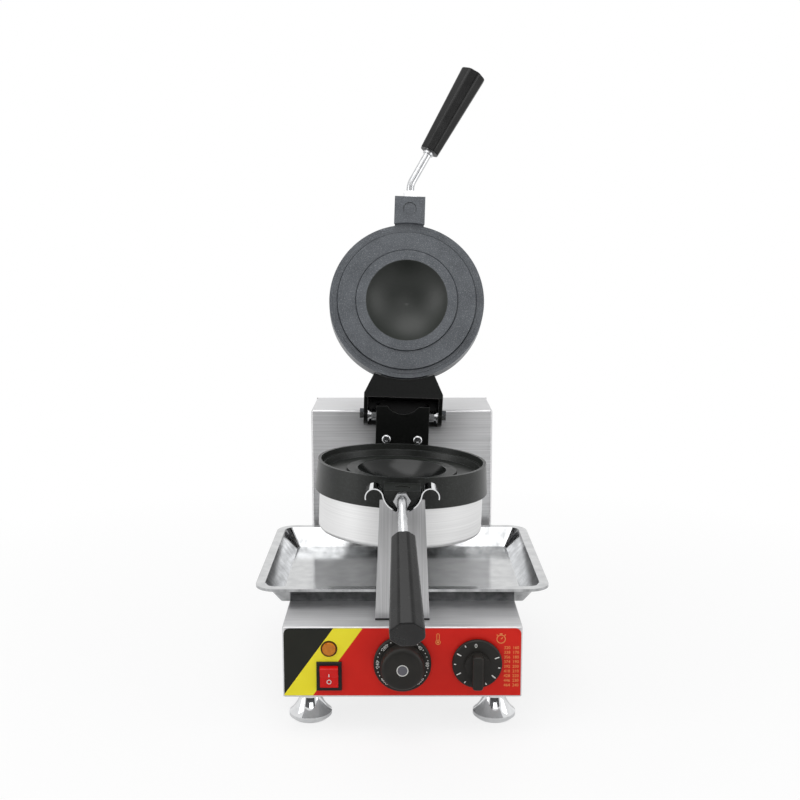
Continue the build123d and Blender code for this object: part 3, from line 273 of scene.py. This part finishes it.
def spun_aluminium(name, placed):
    material, shader = new_material(name)
    back = placed.inverted().to_euler()
    rings = stretched_noise(material, (160, 160, 0.9), 3.0, tuple(back))
    finish(
        material, shader, two_tone(material, rings, "#DADADA", "#E6E6E6"), (rings, 0.38, 0.5),
        (rings, 0.03, 0.5), {"Metallic": 0.85}
    )
    return material


lower_drum = spun_aluminium("spun_aluminium_lower", rest_turn)
lid_drum = spun_aluminium("spun_aluminium_lid", rest_turn @ lid_lift)
print("the lid stands open by", LID_OPEN, "degrees")

# %% [markdown]
# The pans are cast aluminium with a sprayed non-stick coat, baked on. It is satin and black, with a fine pebbled
# surface. On the lid it is painted slate grey, which is painted light: the lid is drawn lighter than the pan's
# black for the light that falls on it. The tiny flakes in the coat catch the light as specks about a quarter of a
# millimetre wide; they are drawn here at 0.8 mm as lighter specks of colour, a painted glint, and the lid gets far
# more of them. Both bowls are drawn darker than the rest of their coat, and the lower one is glossier too, because
# it is wiped out after every use. Each pan is one casting, so the bowl is not cut off as a piece of its own: it is
# part of a ball, and a distance from the ball's middle tells the shader where it is. The coat is thin on sharp
# rims and wears grey there.

# %% Sprayed non-stick coat on a casting
LOWER_BALL_R, LOWER_BALL_UP = 65.5 * MM, 30.0 * MM
LID_BALL_R, LID_BALL_UP = 67.3 * MM, 50.3 * MM
BALL_MARGIN = 0.3 * MM
PAN_RIM_UP = 5.5 * MM
LUG_GAP = 0.3 * MM
FLAKE_GLINT_TONE, BARE_TONE = "#8E9297", "#7C7F80"
FLAKE_SIZE, FLAKE_ABOVE = 0.8, 0.66
PEBBLE_DEPTH, FLAKE_DEPTH = 0.04, 0.16
RIM_WEAR = 0.45


def ball_middle(rise, on_lid):
    """Middle of a bowl's ball at rest, from its height over the closed rim plane."""
    axis = Vector(joints["rotor_turn"]["pos_m"])
    pivot = Vector(joints["lid_hinge"]["pos_m"])
    point = Vector((0, axis.y, axis.z + PAN_RIM_UP + rise))
    if on_lid:
        closed_pivot = axis + rest_turn.inverted() @ (pivot - axis)
        point = closed_pivot + lid_lift @ (point - closed_pivot)
    return axis + rest_turn @ (point - axis)


def sprayed_nonstick(name, low, high, deep, smooth, rough, polished, flecks, shine, ball, ball_r):
    """The coat: deep, and polished times as rough, inside the ball, with flecks outside it."""
    material, shader = new_material(name)
    cloud = stretched_noise(material, (30, 30, 30), 3.0)
    pebble = stretched_noise(material, (1.6, 1.6, 1.6), 3.0)
    # Flakes are painted as lighter specks of colour: a painted glint for the light that they catch.
    flakes = stretched_noise(material, (FLAKE_SIZE, FLAKE_SIZE, FLAKE_SIZE), 0.0)
    bright = add(material, "ShaderNodeMath", {0: flakes, 1: FLAKE_ABOVE}, "Value", operation="GREATER_THAN")
    faint = add(material, "ShaderNodeMath", {0: bright, 1: flecks}, "Value", operation="MULTIPLY")
    place = add(material, "ShaderNodeTexCoord", out="Object")
    off = add(material, "ShaderNodeVectorMath", {0: place, 1: ball}, "Value", operation="DISTANCE")
    bowl = add(material, "ShaderNodeMath", {0: off, 1: ball_r + BALL_MARGIN}, "Value", operation="LESS_THAN")
    edges = worn_edges(material, 0.6)
    rim = add(material, "ShaderNodeMath", {0: edges, 1: RIM_WEAR}, "Value", operation="MULTIPLY")
    colour = two_tone(material, cloud, low, high)
    for share, over in ((faint, FLAKE_GLINT_TONE), (bowl, deep), (rim, BARE_TONE)):
        layers = {"Factor": share, "A": colour, "B": linear(over)}
        colour = add(material, "ShaderNodeMix", layers, "Result", data_type="RGBA")
    dull_ends = []
    for dull in (smooth, rough):
        ends = {"Value": bowl, "To Min": dull, "To Max": dull * polished}
        dull_ends.append(add(material, "ShaderNodeMapRange", ends, "Result"))
    depth_mm = PEBBLE_DEPTH + FLAKE_DEPTH * flecks
    finish(material, shader, colour, (pebble, *dull_ends), (pebble, depth_mm, 0.6), {SHINE: shine})
    return material


# The lid's coat is painted slate grey: painted light, drawn lighter than the pan's black coat for the light that
# falls on it.
lid_coat_with_painted_light = sprayed_nonstick(
    "sprayed_nonstick_lid_painted_light", "#43474C", "#565A5F", "#1C201C", 0.34, 0.5, polished=1.1, flecks=0.55,
    shine=0.5, ball=ball_middle(LUG_GAP - LID_BALL_UP, True), ball_r=LID_BALL_R
)
pan_coat = sprayed_nonstick(
    "sprayed_nonstick_pan", "#151715", "#1F211E", "#121413", 0.28, 0.4, polished=0.6, flecks=0.08,
    shine=0.28, ball=ball_middle(LOWER_BALL_UP, False), ball_r=LOWER_BALL_R
)
print("made", lid_coat_with_painted_light.name, "and", pan_coat.name)

# %% [markdown]
# Bracket and yoke are cut steel plate under a black powder coat: even, slightly glossy, with an
# orange-peel ripple about 2 mm across. The coat is thin over cut edges and wears grey there,
# which the edge factor from above shows with no painting by hand.

# %% Black powder coat
def powder_coat():
    material, shader = new_material("black_powder_coat")
    peel = stretched_noise(material, (2.2, 2.2, 2.2), 2.0)
    coat = two_tone(material, peel, "#0B0C0B", "#131413")
    layers = {"Factor": worn_edges(material, 0.7), "A": coat, "B": linear("#6C6D6C")}
    colour = add(material, "ShaderNodeMix", layers, "Result", data_type="RGBA")
    finish(material, shader, colour, (peel, 0.3, 0.42), (peel, 0.06, 0.6), {SHINE: 0.12})
    return material


black_plate = powder_coat()
print("made", black_plate.name)

# %% [markdown]
# The grips are pressed phenolic, a hard glossy plastic. Handling dulls it in patches. Knobs and
# housings are moulded ABS and nylon with a light spark texture, drawn 0.9 mm wide so that it
# shows, and the red rocker is glossy polycarbonate. Rubber and ceramic fibre have such a grain
# too, and the bearing's iron is so dull that it can be drawn the same way, so one function makes
# them all.

# %% Pressed phenolic and moulded plastics
def pressed_phenolic():
    material, shader = new_material("pressed_phenolic")
    wear = stretched_noise(material, (18, 18, 18), 4.0)
    fine = stretched_noise(material, (1.2, 1.2, 1.2), 2.0)
    finish(
        material, shader, two_tone(material, wear, "#161616", "#202020"), (wear, 0.18, 0.34),
        (fine, 0.03, 0.5), {SHINE: 0.22}
    )
    return material


def moulded(name, low, high, smooth, rough, shine=0.25):
    material, shader = new_material(name)
    spark = stretched_noise(material, (0.9, 0.9, 0.9), 2.0)
    cloud = stretched_noise(material, (25, 25, 25), 2.0)
    finish(
        material, shader, two_tone(material, cloud, low, high), (spark, smooth, rough),
        (spark, 0.04, 0.5), {SHINE: shine}
    )
    return material


phenolic = pressed_phenolic()
knob_abs = moulded("spark_textured_abs", "#1C1B18", "#262421", 0.42, 0.55)
housing_nylon = moulded("moulded_nylon", "#141312", "#1D1B1A", 0.4, 0.52)
rocker_red = moulded("gloss_red_polycarbonate", "#D00E0C", "#DE1512", 0.2, 0.3, 0.2)
soft_rubber = moulded("black_rubber", "#171717", "#202020", 0.6, 0.75)
fibre_board = moulded("pressed_ceramic_fibre", "#D6D1C4", "#E4E0D5", 0.8, 0.95)
machined_iron = moulded("machined_grey_iron", "#58585A", "#68686A", 0.4, 0.55)
print("materials so far:", len(bpy.data.materials))

# %% [markdown]
# The pilot lamp's lens is amber polycarbonate over a neon lamp that is off. A clear lens would
# need a lit lamp behind it to look right. Here light goes a little way in and scatters, so the
# lens glows softly and never looks like paint.

# %% Amber lens
def amber_lens():
    material, shader = new_material("amber_polycarbonate")
    cloud = stretched_noise(material, (4, 4, 4), 2.0)
    fill(material, shader, {
        "Base Color": two_tone(material, cloud, "#BE6E0A", "#D08014"), "Roughness": 0.18, SHINE: 0.35,
        "Subsurface Weight": 0.3, "Subsurface Scale": 2 * MM
    })
    return material


amber = amber_lens()
print("made", amber.name)

# %% [markdown]
# Each piece could be given its finish by name, but every imported piece already names the material
# slot that it belongs to, so a table from slot to finish dresses the whole machine in one loop.
# Four pieces differ from the rest of their slot: the lid's two castings are painted greyer, which is painted light
# on the pan's coat, its drum has its grain turned, and the column is ground up and down. The film's slot is left
# for the next step.

# %% Put the finishes on the frame
finishes = {
    "stainless_sheet": sheet_steel, "polished_tray": tray_steel, "chrome": chrome, "zinc_steel": zinc,
    "coated_casting": pan_coat, "black_plate": black_plate, "grip_plastic": phenolic,
    "knob_plastic": knob_abs, "red_plastic": rocker_red, "amber_plastic": amber,
    "dark_plastic": housing_nylon, "bronze": bronze, "rubber": soft_rubber, "insulation": fibre_board,
    "heater_sheath": sheath, "cast_iron": machined_iron, "satin_aluminium": lower_drum,
}
own_finish = {
    "upper_pan": lid_coat_with_painted_light, "upper_barrel_nut": lid_coat_with_painted_light, "upper_cover": lid_drum, "column": column_steel
}
dressed = 0
for entry in frame["record"]["subparts"]:
    finish_here = own_finish.get(entry["node"], finishes.get(entry["material_slot"]))
    if finish_here:
        for slot in nodes[entry["node"]].material_slots:
            slot.material = finish_here
        dressed += 1
print("pieces dressed:", dressed)

# %% [markdown]
# The control panel carries a printed film: black at the left, a slanting yellow stripe, and red.
# The colours could be a pattern in one material, but a cut in the mesh keeps the edges of the
# print crisp from any distance. So the film's mesh is copied from the frame, cut along the two
# slanting lines, and each part gets its own ink.

# %% Printed film
STRIPE_LEFT_TOP, STRIPE_LEFT_FOOT = -72.0 * MM, -124.4 * MM
STRIPE_RIGHT_TOP, STRIPE_RIGHT_FOOT = -41.4 * MM, -93.6 * MM
film_low, film_high = (Vector(corner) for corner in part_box("front_overlay"))


def screen_ink(name, low, high):
    material, shader = new_material(name)
    print_grain = stretched_noise(material, (1.2, 1.2, 1.2), 2.0)
    cloud = stretched_noise(material, (40, 40, 40), 2.0)
    finish(
        material, shader, two_tone(material, cloud, low, high), (print_grain, 0.4, 0.5),
        (print_grain, 0.015, 0.5), {SHINE: 0.2}
    )
    return material


def cut_line(mesh, x_top, x_foot):
    """Cut a mesh along a slanting line, and give back a measure of how far right a point lies."""
    foot = Vector((x_foot, 0, film_low.z))
    across = Vector((film_high.z - film_low.z, 0, x_foot - x_top)).normalized()
    everything = mesh.verts[:] + mesh.edges[:] + mesh.faces[:]
    bmesh.ops.bisect_plane(mesh, geom=everything, plane_co=foot, plane_no=across)
    return lambda point: (point - foot).dot(across)


def mesh_object(name, mesh, materials, body):
    """Turn a bmesh into a piece that rides on a body."""
    data = bpy.data.meshes.new(name)
    mesh.to_mesh(data)
    mesh.free()
    for material in materials:
        data.materials.append(material)
    piece = bpy.data.objects.new(name, data)
    bpy.context.scene.collection.objects.link(piece)
    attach(piece, body)
    return piece


black_ink = screen_ink("black_screen_ink", "#1D1E19", "#22231D")
yellow_ink = screen_ink("yellow_screen_ink", "#F4E62E", "#F8EB38")
red_ink = screen_ink("red_screen_ink", "#D31D12", "#DC2316")
film = bmesh.new()
film.from_mesh(nodes["front_overlay"].data)
right_of_first = cut_line(film, STRIPE_LEFT_TOP, STRIPE_LEFT_FOOT)
right_of_second = cut_line(film, STRIPE_RIGHT_TOP, STRIPE_RIGHT_FOOT)
for face in film.faces:
    centre = face.calc_center_median()
    face.material_index = (right_of_first(centre) > 0) + (right_of_second(centre) > 0)
printed_film = mesh_object(
    "printed_film", film, [black_ink, yellow_ink, red_ink], "frame"
)
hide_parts("front_overlay")
print("film faces:", len(printed_film.data.polygons))

# %% [markdown]
# Marks on dials and film are printed ink, a few hundredths of a millimetre thick. Each is a thin plate just proud
# of its surface, drawn about a tenth of a millimetre thick so that it shows. Strokes are flat strips, and figures
# use the built-in font turned into a mesh.

# %% Ink marks
MARK_T = 0.12 * MM
LOOP_OVERLAP = 1.15
FONT_SIZE = 1.4
white_ink = screen_ink("white_screen_ink", "#E4E4E0", "#EEEEEA")
orange_ink = screen_ink("orange_screen_ink", "#EE9A55", "#F2A663")


def plate(mesh, corners, y):
    """Add a thin plate with the given (x, z) outline, its front MARK_T ahead of y."""
    front = [mesh.verts.new((x, y - MARK_T, z)) for x, z in corners]
    back = [mesh.verts.new((x, y, z)) for x, z in corners]
    mesh.faces.new(front)
    mesh.faces.new(back[::-1])
    count = len(corners)
    for i in range(count):
        j = (i + 1) % count
        mesh.faces.new((front[j], front[i], back[i], back[j]))


def strip(mesh, start, end, width, y):
    """Add a flat strip in the plane of the panel, from start to end in (x, z)."""
    start, end = Vector(start), Vector(end)
    run = end - start
    side = Vector((-run.y, run.x)).normalized() * width / 2
    plate(mesh, [start + side, start - side, end - side, end + side], y)


def dial_point(centre, radius, degrees):
    """Point (x, z) at a radius from a centre, at degrees clockwise from the top."""
    return centre[0] + radius * sin(radians(degrees)), centre[1] + radius * cos(radians(degrees))


def dot(mesh, centre, radius, y, sides=14):
    """Add a round spot."""
    plate(mesh, [dial_point(centre, radius, 90 - 360 * i / sides) for i in range(sides)], y)


def loop(mesh, centre, radius, width, y, sides=24, arc=1.0):
    """Add a ring of short strips, or part of one."""
    for i in range(round(sides * arc)):
        start = dial_point(centre, radius, 90 - 360 * i / sides)
        end = dial_point(centre, radius, 90 - 360 * (i + LOOP_OVERLAP) / sides)
        strip(mesh, start, end, width, y)


def figures(mesh, text, centre, height, y, degrees=0.0):
    """Add the figures of a number, centred on a point and turned in the plane of the panel."""
    curve = bpy.data.curves.new("figures", "FONT")
    curve.body = text
    curve.size = height * FONT_SIZE
    curve.align_x = "CENTER"
    curve.align_y = "CENTER"
    curve.extrude = MARK_T / 2
    curve.resolution_u = 2
    holder = bpy.data.objects.new("figures", curve)
    solid = bpy.data.meshes.new_from_object(holder)
    stood_up = Matrix.Rotation(radians(90), 4, "X")
    spin = Matrix.Rotation(radians(degrees), 4, "Y")
    solid.transform(Matrix.Translation((centre[0], y - MARK_T / 2, centre[1])) @ spin @ stood_up)
    mesh.from_mesh(solid)
    bpy.data.objects.remove(holder)
    bpy.data.curves.remove(curve)
    bpy.data.meshes.remove(solid)


print("a mark is", round(MARK_T / MM, 2), "mm thick")

# %% [markdown]
# The thermostat's skirt has a figure every 45 degrees and dots between them, and in the middle of
# its cap is a plain round badge with a white rim. All of them lie on circles, so a loop places
# each by its angle, in place of a list of points. They ride on the knob and turn with it.

# %% Thermostat marks
SKIRT_T = 4.0 * MM
STEPS, DOTS_BETWEEN = 8, 4
DEGREES_A_STEP = 40
FIGURE_IN, FIGURE_H = 4.4 * MM, 3.6 * MM
DOT_IN, DOT_R = 3.4 * MM, 0.6 * MM
BADGE_R, BADGE_LINE = 5.6 * MM, 0.9 * MM
BADGE_INSET = 0.6 * MM
BADGE_SIDES = 28


def round_face(node):
    """Centre (x, z) and radius of a round piece that faces forward."""
    low, high = (Vector(corner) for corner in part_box(node))
    middle = (low + high) / 2
    return (middle.x, middle.z), (high.x - low.x) / 2


knob, skirt_r = round_face("thermostat_knob")
knob_low, knob_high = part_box("thermostat_knob")
cap_face, skirt_face = knob_low[1], knob_high[1] - SKIRT_T
marks = bmesh.new()
for step in range(STEPS):
    turn = 360 / STEPS * step
    reached = dial_point(knob, skirt_r - FIGURE_IN, turn)
    figures(marks, str(step * DEGREES_A_STEP), reached, FIGURE_H, skirt_face, turn)
    for part in range(1, DOTS_BETWEEN + 1):
        between = turn + 360 / STEPS * part / (DOTS_BETWEEN + 1)
        dot(marks, dial_point(knob, skirt_r - DOT_IN, between), DOT_R, skirt_face)
loop(marks, knob, BADGE_R, BADGE_LINE, cap_face, BADGE_SIDES)
mesh_object("thermostat_marks", marks, [white_ink], "thermostat_dial")

grey_ink = screen_ink("grey_screen_ink", "#5E5E64", "#6A6A70")
badge = bmesh.new()
dot(badge, knob, BADGE_R - BADGE_INSET, cap_face, BADGE_SIDES)
mesh_object("thermostat_badge", badge, [grey_ink], "thermostat_dial")
print("thermostat figures:", STEPS, "and dots:", STEPS * DOTS_BETWEEN)

# %% [markdown]
# The timer's dial has ten strokes, short and long by turns, and a nought at the top. Its scale is
# even, so the same loop over an angle draws it. The marks ride on the timer's knob.

# %% Timer marks
DIAL_T = 4.0 * MM
STROKES, STROKE_TURN, FIRST_TURN = 10, -28.5, -4.0
STROKE_IN, STROKE_W = 1.8 * MM, 1.1 * MM
LONG_STROKE, SHORT_STROKE = 5.0 * MM, 2.2 * MM
NOUGHT_LEFT, NOUGHT_IN, NOUGHT_H = 1.5 * MM, 6.0 * MM, 4.4 * MM
dial, dial_r = round_face("timer_knob")
dial_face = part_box("timer_knob")[1][1] - DIAL_T
strokes = bmesh.new()
for step in range(1, STROKES + 1):
    turn = FIRST_TURN + STROKE_TURN * step
    tip = dial_r - STROKE_IN
    tail = tip - (SHORT_STROKE if step % 2 else LONG_STROKE)
    strip(strokes, dial_point(dial, tail, turn), dial_point(dial, tip, turn), STROKE_W, dial_face)
nought = dial[0] - NOUGHT_LEFT, dial[1] + dial_r - NOUGHT_IN
figures(strokes, "0", nought, NOUGHT_H, dial_face)
mesh_object("timer_marks", strokes, [white_ink], "timer_dial")
print("timer strokes:", STROKES)

# %% [markdown]
# The film also carries two small pictures, a thermometer and a stopwatch, and a plain table that
# turns degrees Celsius into Fahrenheit, all in pale orange ink. They are placed from the deck's
# height, where the panel ends. The table could be typed in, but one column is worked out from the
# other, so that the two can't disagree.

# %% Pictures and figures on the film
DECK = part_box("base_shell")[1][2]
film_front = film_low.y
signs = bmesh.new()


def film_line(centre, start_mm, end_mm, width_mm):
    """Draw a line on the film, from start to end in millimetres right of and over a centre."""
    ends = [(centre[0] + x * MM, centre[1] + z * MM) for x, z in (start_mm, end_mm)]
    strip(signs, *ends, width_mm * MM, film_front)


thermometer = (37.0 * MM, DECK - 12.5 * MM)
bulb = (thermometer[0], thermometer[1] - 4 * MM)
tube_top = (thermometer[0], thermometer[1] + 4 * MM)
film_line(thermometer, (-1.3, -2), (-1.3, 4), 0.6)
film_line(thermometer, (1.3, -2), (1.3, 4), 0.6)
loop(signs, tube_top, 1.3 * MM, 0.6 * MM, film_front, 16, 0.5)
loop(signs, bulb, 2.4 * MM, 0.7 * MM, film_front, 16)
dot(signs, bulb, 1.2 * MM, film_front)

stopwatch = (102.5 * MM, DECK - 13 * MM)
loop(signs, stopwatch, 4.4 * MM, 0.8 * MM, film_front, 24)
film_line(stopwatch, (0, 0), (1.8, 1.8), 0.7)
film_line(stopwatch, (-1.4, 5.6), (1.4, 5.6), 0.9)
film_line(stopwatch, (-3.6, 3.8), (-4.6, 4.8), 0.9)
film_line(stopwatch, (3.6, 3.8), (4.6, 4.8), 0.9)

ROWS, ROW_PITCH, FIRST_ROW = 9, 5.1 * MM, 22.5 * MM
FAHRENHEIT_X, CELSIUS_X, TABLE_FIGURE_H = 109.0 * MM, 118.0 * MM, 3.2 * MM
COOLEST, CELSIUS_A_ROW = 160, 10
for row in range(ROWS):
    z = DECK - FIRST_ROW - ROW_PITCH * row
    celsius = COOLEST + CELSIUS_A_ROW * row
    fahrenheit = round(celsius * 9 / 5 + 32)
    figures(signs, str(fahrenheit), (FAHRENHEIT_X, z), TABLE_FIGURE_H, film_front)
    figures(signs, str(celsius), (CELSIUS_X, z), TABLE_FIGURE_H, film_front)
mesh_object("film_signs", signs, [orange_ink], "frame")
print("rows in the table:", ROWS)

# %% [markdown]
# A brown ring is printed round the pilot lamp. It starts at the lens's edge, so its radius is
# worked out from the lens in the frame and not measured again.

# %% Ring round the pilot lamp
LAMP_LINE = 1.8 * MM
lens, lens_r = round_face("lamp_lens")
brown_ink = screen_ink("brown_screen_ink", "#4A2E12", "#5A3A16")
lamp_ring = bmesh.new()
loop(lamp_ring, lens, lens_r + LAMP_LINE / 2, LAMP_LINE, film_front, 32)
mesh_object("lamp_ring", lamp_ring, [brown_ink], "frame")
print("the ring's middle line is", round((lens_r + LAMP_LINE / 2) / MM, 1), "mm from the lamp's axis")

# %% [markdown]
# The rocker switch is marked I and O, the usual signs for on and off. They are printed on the
# button's two slanting faces. Corners could be worked out on each slope, but it is simpler to
# draw a mark upright on the pivot's plane, push it forward to the face, and lean it as the face
# leans.

# %% Rocker marks
ROCKER_DIP = 3.2 * MM
ROCKER_TILT = 10.0
MARK_MID, MARK_HALF = 3.4 * MM, 1.8 * MM
RING_DOWN, RING_R = 5.2 * MM, 2.1 * MM
pivot = Vector(joints["rocker_rock"]["pos_m"])
ROCKER_REST = ROCKER_TILT if min(joints["rocker_rock"]["range_deg"]) < 0 else -ROCKER_TILT


def lean_onto_button(mesh, lean):
    """Turn marks drawn on the pivot's plane by lean degrees, and carry them forward to the face."""
    forward = Matrix.Translation((0, -ROCKER_DIP, 0))
    mesh.transform(Matrix.Translation(pivot) @ Matrix.Rotation(radians(lean), 4, "X") @ forward)


on_and_off = bmesh.new()
loop(on_and_off, (0, -RING_DOWN), RING_R, 0.8 * MM, 0, 24)
lean_onto_button(on_and_off, ROCKER_REST - ROCKER_TILT)
off_mark = bpy.data.meshes.new("off_mark")
on_and_off.to_mesh(off_mark)
on_and_off.clear()
strip(on_and_off, (0, MARK_MID - MARK_HALF), (0, MARK_MID + MARK_HALF), 0.9 * MM, 0)
lean_onto_button(on_and_off, ROCKER_REST + ROCKER_TILT)
on_and_off.from_mesh(off_mark)
bpy.data.meshes.remove(off_mark)
mesh_object("rocker_marks", on_and_off, [white_ink], "rocker")
print("rocker marks lean", ROCKER_REST + ROCKER_TILT, "and", ROCKER_REST - ROCKER_TILT, "degrees")

# %% [markdown]
# A pale floor keeps the soft shadow that stands the machine on something. Lit until it was white,
# it would bleach the machine, so its white comes from a glow that only the camera and reflections
# see, and to every other ray it is plain white paper. Near the machine the glow is weaker, in
# reflections much weaker, as a real floor in its shade is darker.

# %% Pale floor
FLOOR_GLOW, GLOW_FULL_AT = 0.8, 1.0
FLOOR_SHADE, SHADE_ENDS_AT = 0.3, 0.8
SHADE_STARTS_AT = 0.2
FLOOR_HALF = 6


def paper_floor():
    material, shader = new_material("white_paper")
    fill(material, shader, {"Base Color": linear("#F4F4F4"), "Roughness": 0.9})
    rays = add(material, "ShaderNodeLightPath").outputs
    place = add(material, "ShaderNodeTexCoord", out="Object")
    away = add(material, "ShaderNodeVectorMath", {0: place}, "Value", operation="LENGTH")
    shares = []
    for ray, tone, end in (
        ("Is Camera Ray", FLOOR_GLOW, GLOW_FULL_AT), ("Is Glossy Ray", FLOOR_SHADE, SHADE_ENDS_AT)
    ):
        ends = {"Value": away, "From Min": SHADE_STARTS_AT, "From Max": end, "To Min": tone, "To Max": 1.0}
        white = {0: rays[ray], 1: add(material, "ShaderNodeMapRange", ends, "Result")}
        shares.append(add(material, "ShaderNodeMath", white, "Value", operation="MULTIPLY"))
    share = add(material, "ShaderNodeMath", {0: shares[0], 1: shares[1]}, "Value", operation="MAXIMUM")
    glow = add(material, "ShaderNodeEmission", {"Color": (1, 1, 1, 1), "Strength": 1.0}, "Emission")
    mixed = add(material, "ShaderNodeMixShader", {0: share, 1: shader.outputs["BSDF"], 2: glow}, "Shader")
    fill(material, material.node_tree.nodes["Material Output"], {"Surface": mixed})
    return material


def flat_panel(name, corners, material):
    """A single flat face that belongs to the studio."""
    data = bpy.data.meshes.new(name)
    data.from_pydata(corners, [], [list(range(len(corners)))])
    data.materials.append(material)
    piece = bpy.data.objects.new(name, data)
    bpy.context.scene.collection.objects.link(piece)
    return piece


floor_corners = [(x * FLOOR_HALF, y * FLOOR_HALF, 0) for x, y in ((-1, -1), (1, -1), (1, 1), (-1, 1))]
flat_panel("floor", floor_corners, paper_floor())
print("floor:", 2 * FLOOR_HALF, "m square")

# %% [markdown]
# Past the floor there is nothing but white. A curved white sheet would do, but the world needs no
# mesh. The camera, reflections and views through glass see it at full strength, and everything
# else gets less than half of it, so the lamps can shape the object.

# %% Backdrop and the light from all round
AMBIENT = 0.45
world = bpy.data.worlds.new("studio")
bpy.context.scene.world = world
world.use_nodes = True
rays = add(world, "ShaderNodeLightPath").outputs
seen = rays["Is Camera Ray"]
for ray in ("Is Glossy Ray", "Is Transmission Ray"):
    seen = add(world, "ShaderNodeMath", {0: seen, 1: rays[ray]}, "Value", operation="MAXIMUM")
strength = add(world, "ShaderNodeMapRange", {"Value": seen, "To Min": AMBIENT, "To Max": 1.0}, "Result")
fill(world, world.node_tree.nodes["Background"], {"Color": (1, 1, 1, 1), "Strength": strength})
print("ambient light:", AMBIENT)

# %% [markdown]
# A product studio hangs large soft boxes round the object, because small lamps would leave hard
# shadows and hot spots on the steel. One hangs above and a little in front, one stands at each
# side, and a smaller one behind and above the camera. That end of the studio is dim, and metal
# shows that as grey, so a grey wall stands there for the steel to reflect. It is darker near the
# floor, and the camera itself never sees it.

# %% Soft boxes and the dim end of the studio
AIM = Vector((0, 0, 0.3))
DIM_HALF, DIM_Y, DIM_TOP = 3.0, -3.2, 2.6
DIM_FULL_AT = 1.6


def soft_box(name, place, width, height, watts):
    data = bpy.data.lights.new(name, "AREA")
    data.shape = "RECTANGLE"
    data.size, data.size_y = width, height
    data.energy = watts
    lamp = bpy.data.objects.new(name, data)
    lamp.location = place
    lamp.rotation_euler = (AIM - Vector(place)).to_track_quat("-Z", "Y").to_euler()
    bpy.context.scene.collection.objects.link(lamp)


def dim_wall():
    material, shader = new_material("dim_studio_wall")
    place = add(material, "ShaderNodeTexCoord", out="Object")
    up = add(material, "ShaderNodeSeparateXYZ", {"Vector": place}, "Z")
    heights = {"Value": up, "From Min": 0.0, "From Max": DIM_FULL_AT}
    share = add(material, "ShaderNodeMapRange", heights, "Result")
    ends = {"Factor": share, "A": linear("#3C3C3E"), "B": linear("#8A8A8C")}
    grey = add(material, "ShaderNodeMix", ends, "Result", data_type="RGBA")
    fill(material, shader, {"Base Color": grey, "Roughness": 0.9})
    return material


soft_box("top_box", (-0.2, -0.3, 2.1), 1.6, 1.4, 16)
soft_box("left_box", (-1.9, -0.7, 0.9), 1.0, 1.5, 12)
soft_box("right_box", (1.9, -0.5, 0.9), 1.0, 1.5, 9)
soft_box("front_box", (0.3, -2.2, 1.3), 1.2, 0.8, 8)
foot_corners = [(-DIM_HALF, DIM_Y, 0), (DIM_HALF, DIM_Y, 0)]
top_corners = [(DIM_HALF, DIM_Y, DIM_TOP), (-DIM_HALF, DIM_Y, DIM_TOP)]
dim_end = flat_panel("dim_end", foot_corners + top_corners, dim_wall())
dim_end.visible_camera = False
print("lamps:", len(bpy.data.lights))

# %% [markdown]
# A camera can be placed by eye, but this one was solved from the photograph's own edges, so that
# a render can be laid over it: its place, its tilt of under nine degrees and its focal length. The
# panel's front face and the deck are the planes it was measured from.

# %% Camera
CAMERA_RIGHT, CAMERA_BACK, CAMERA_UP = -2.2 * MM, 1123.9 * MM, 409.9 * MM
TILT_DOWN, ROLL = 8.69, 0.04
FOCAL_MM, SENSOR_MM = 50.9, 36.0
panel_face = film_high.y
camera_data = bpy.data.cameras.new("camera")
camera_data.lens = FOCAL_MM
camera_data.sensor_width = SENSOR_MM
camera = bpy.data.objects.new("camera", camera_data)
camera.location = (CAMERA_RIGHT, panel_face - CAMERA_BACK, DECK + CAMERA_UP)
camera.rotation_euler = (radians(90 - TILT_DOWN), radians(ROLL), 0)
bpy.context.scene.collection.objects.link(camera)
bpy.context.scene.camera = camera
bpy.context.scene.view_settings.view_transform = "Standard"
print("camera at", tuple(round(value, 3) for value in camera.location))
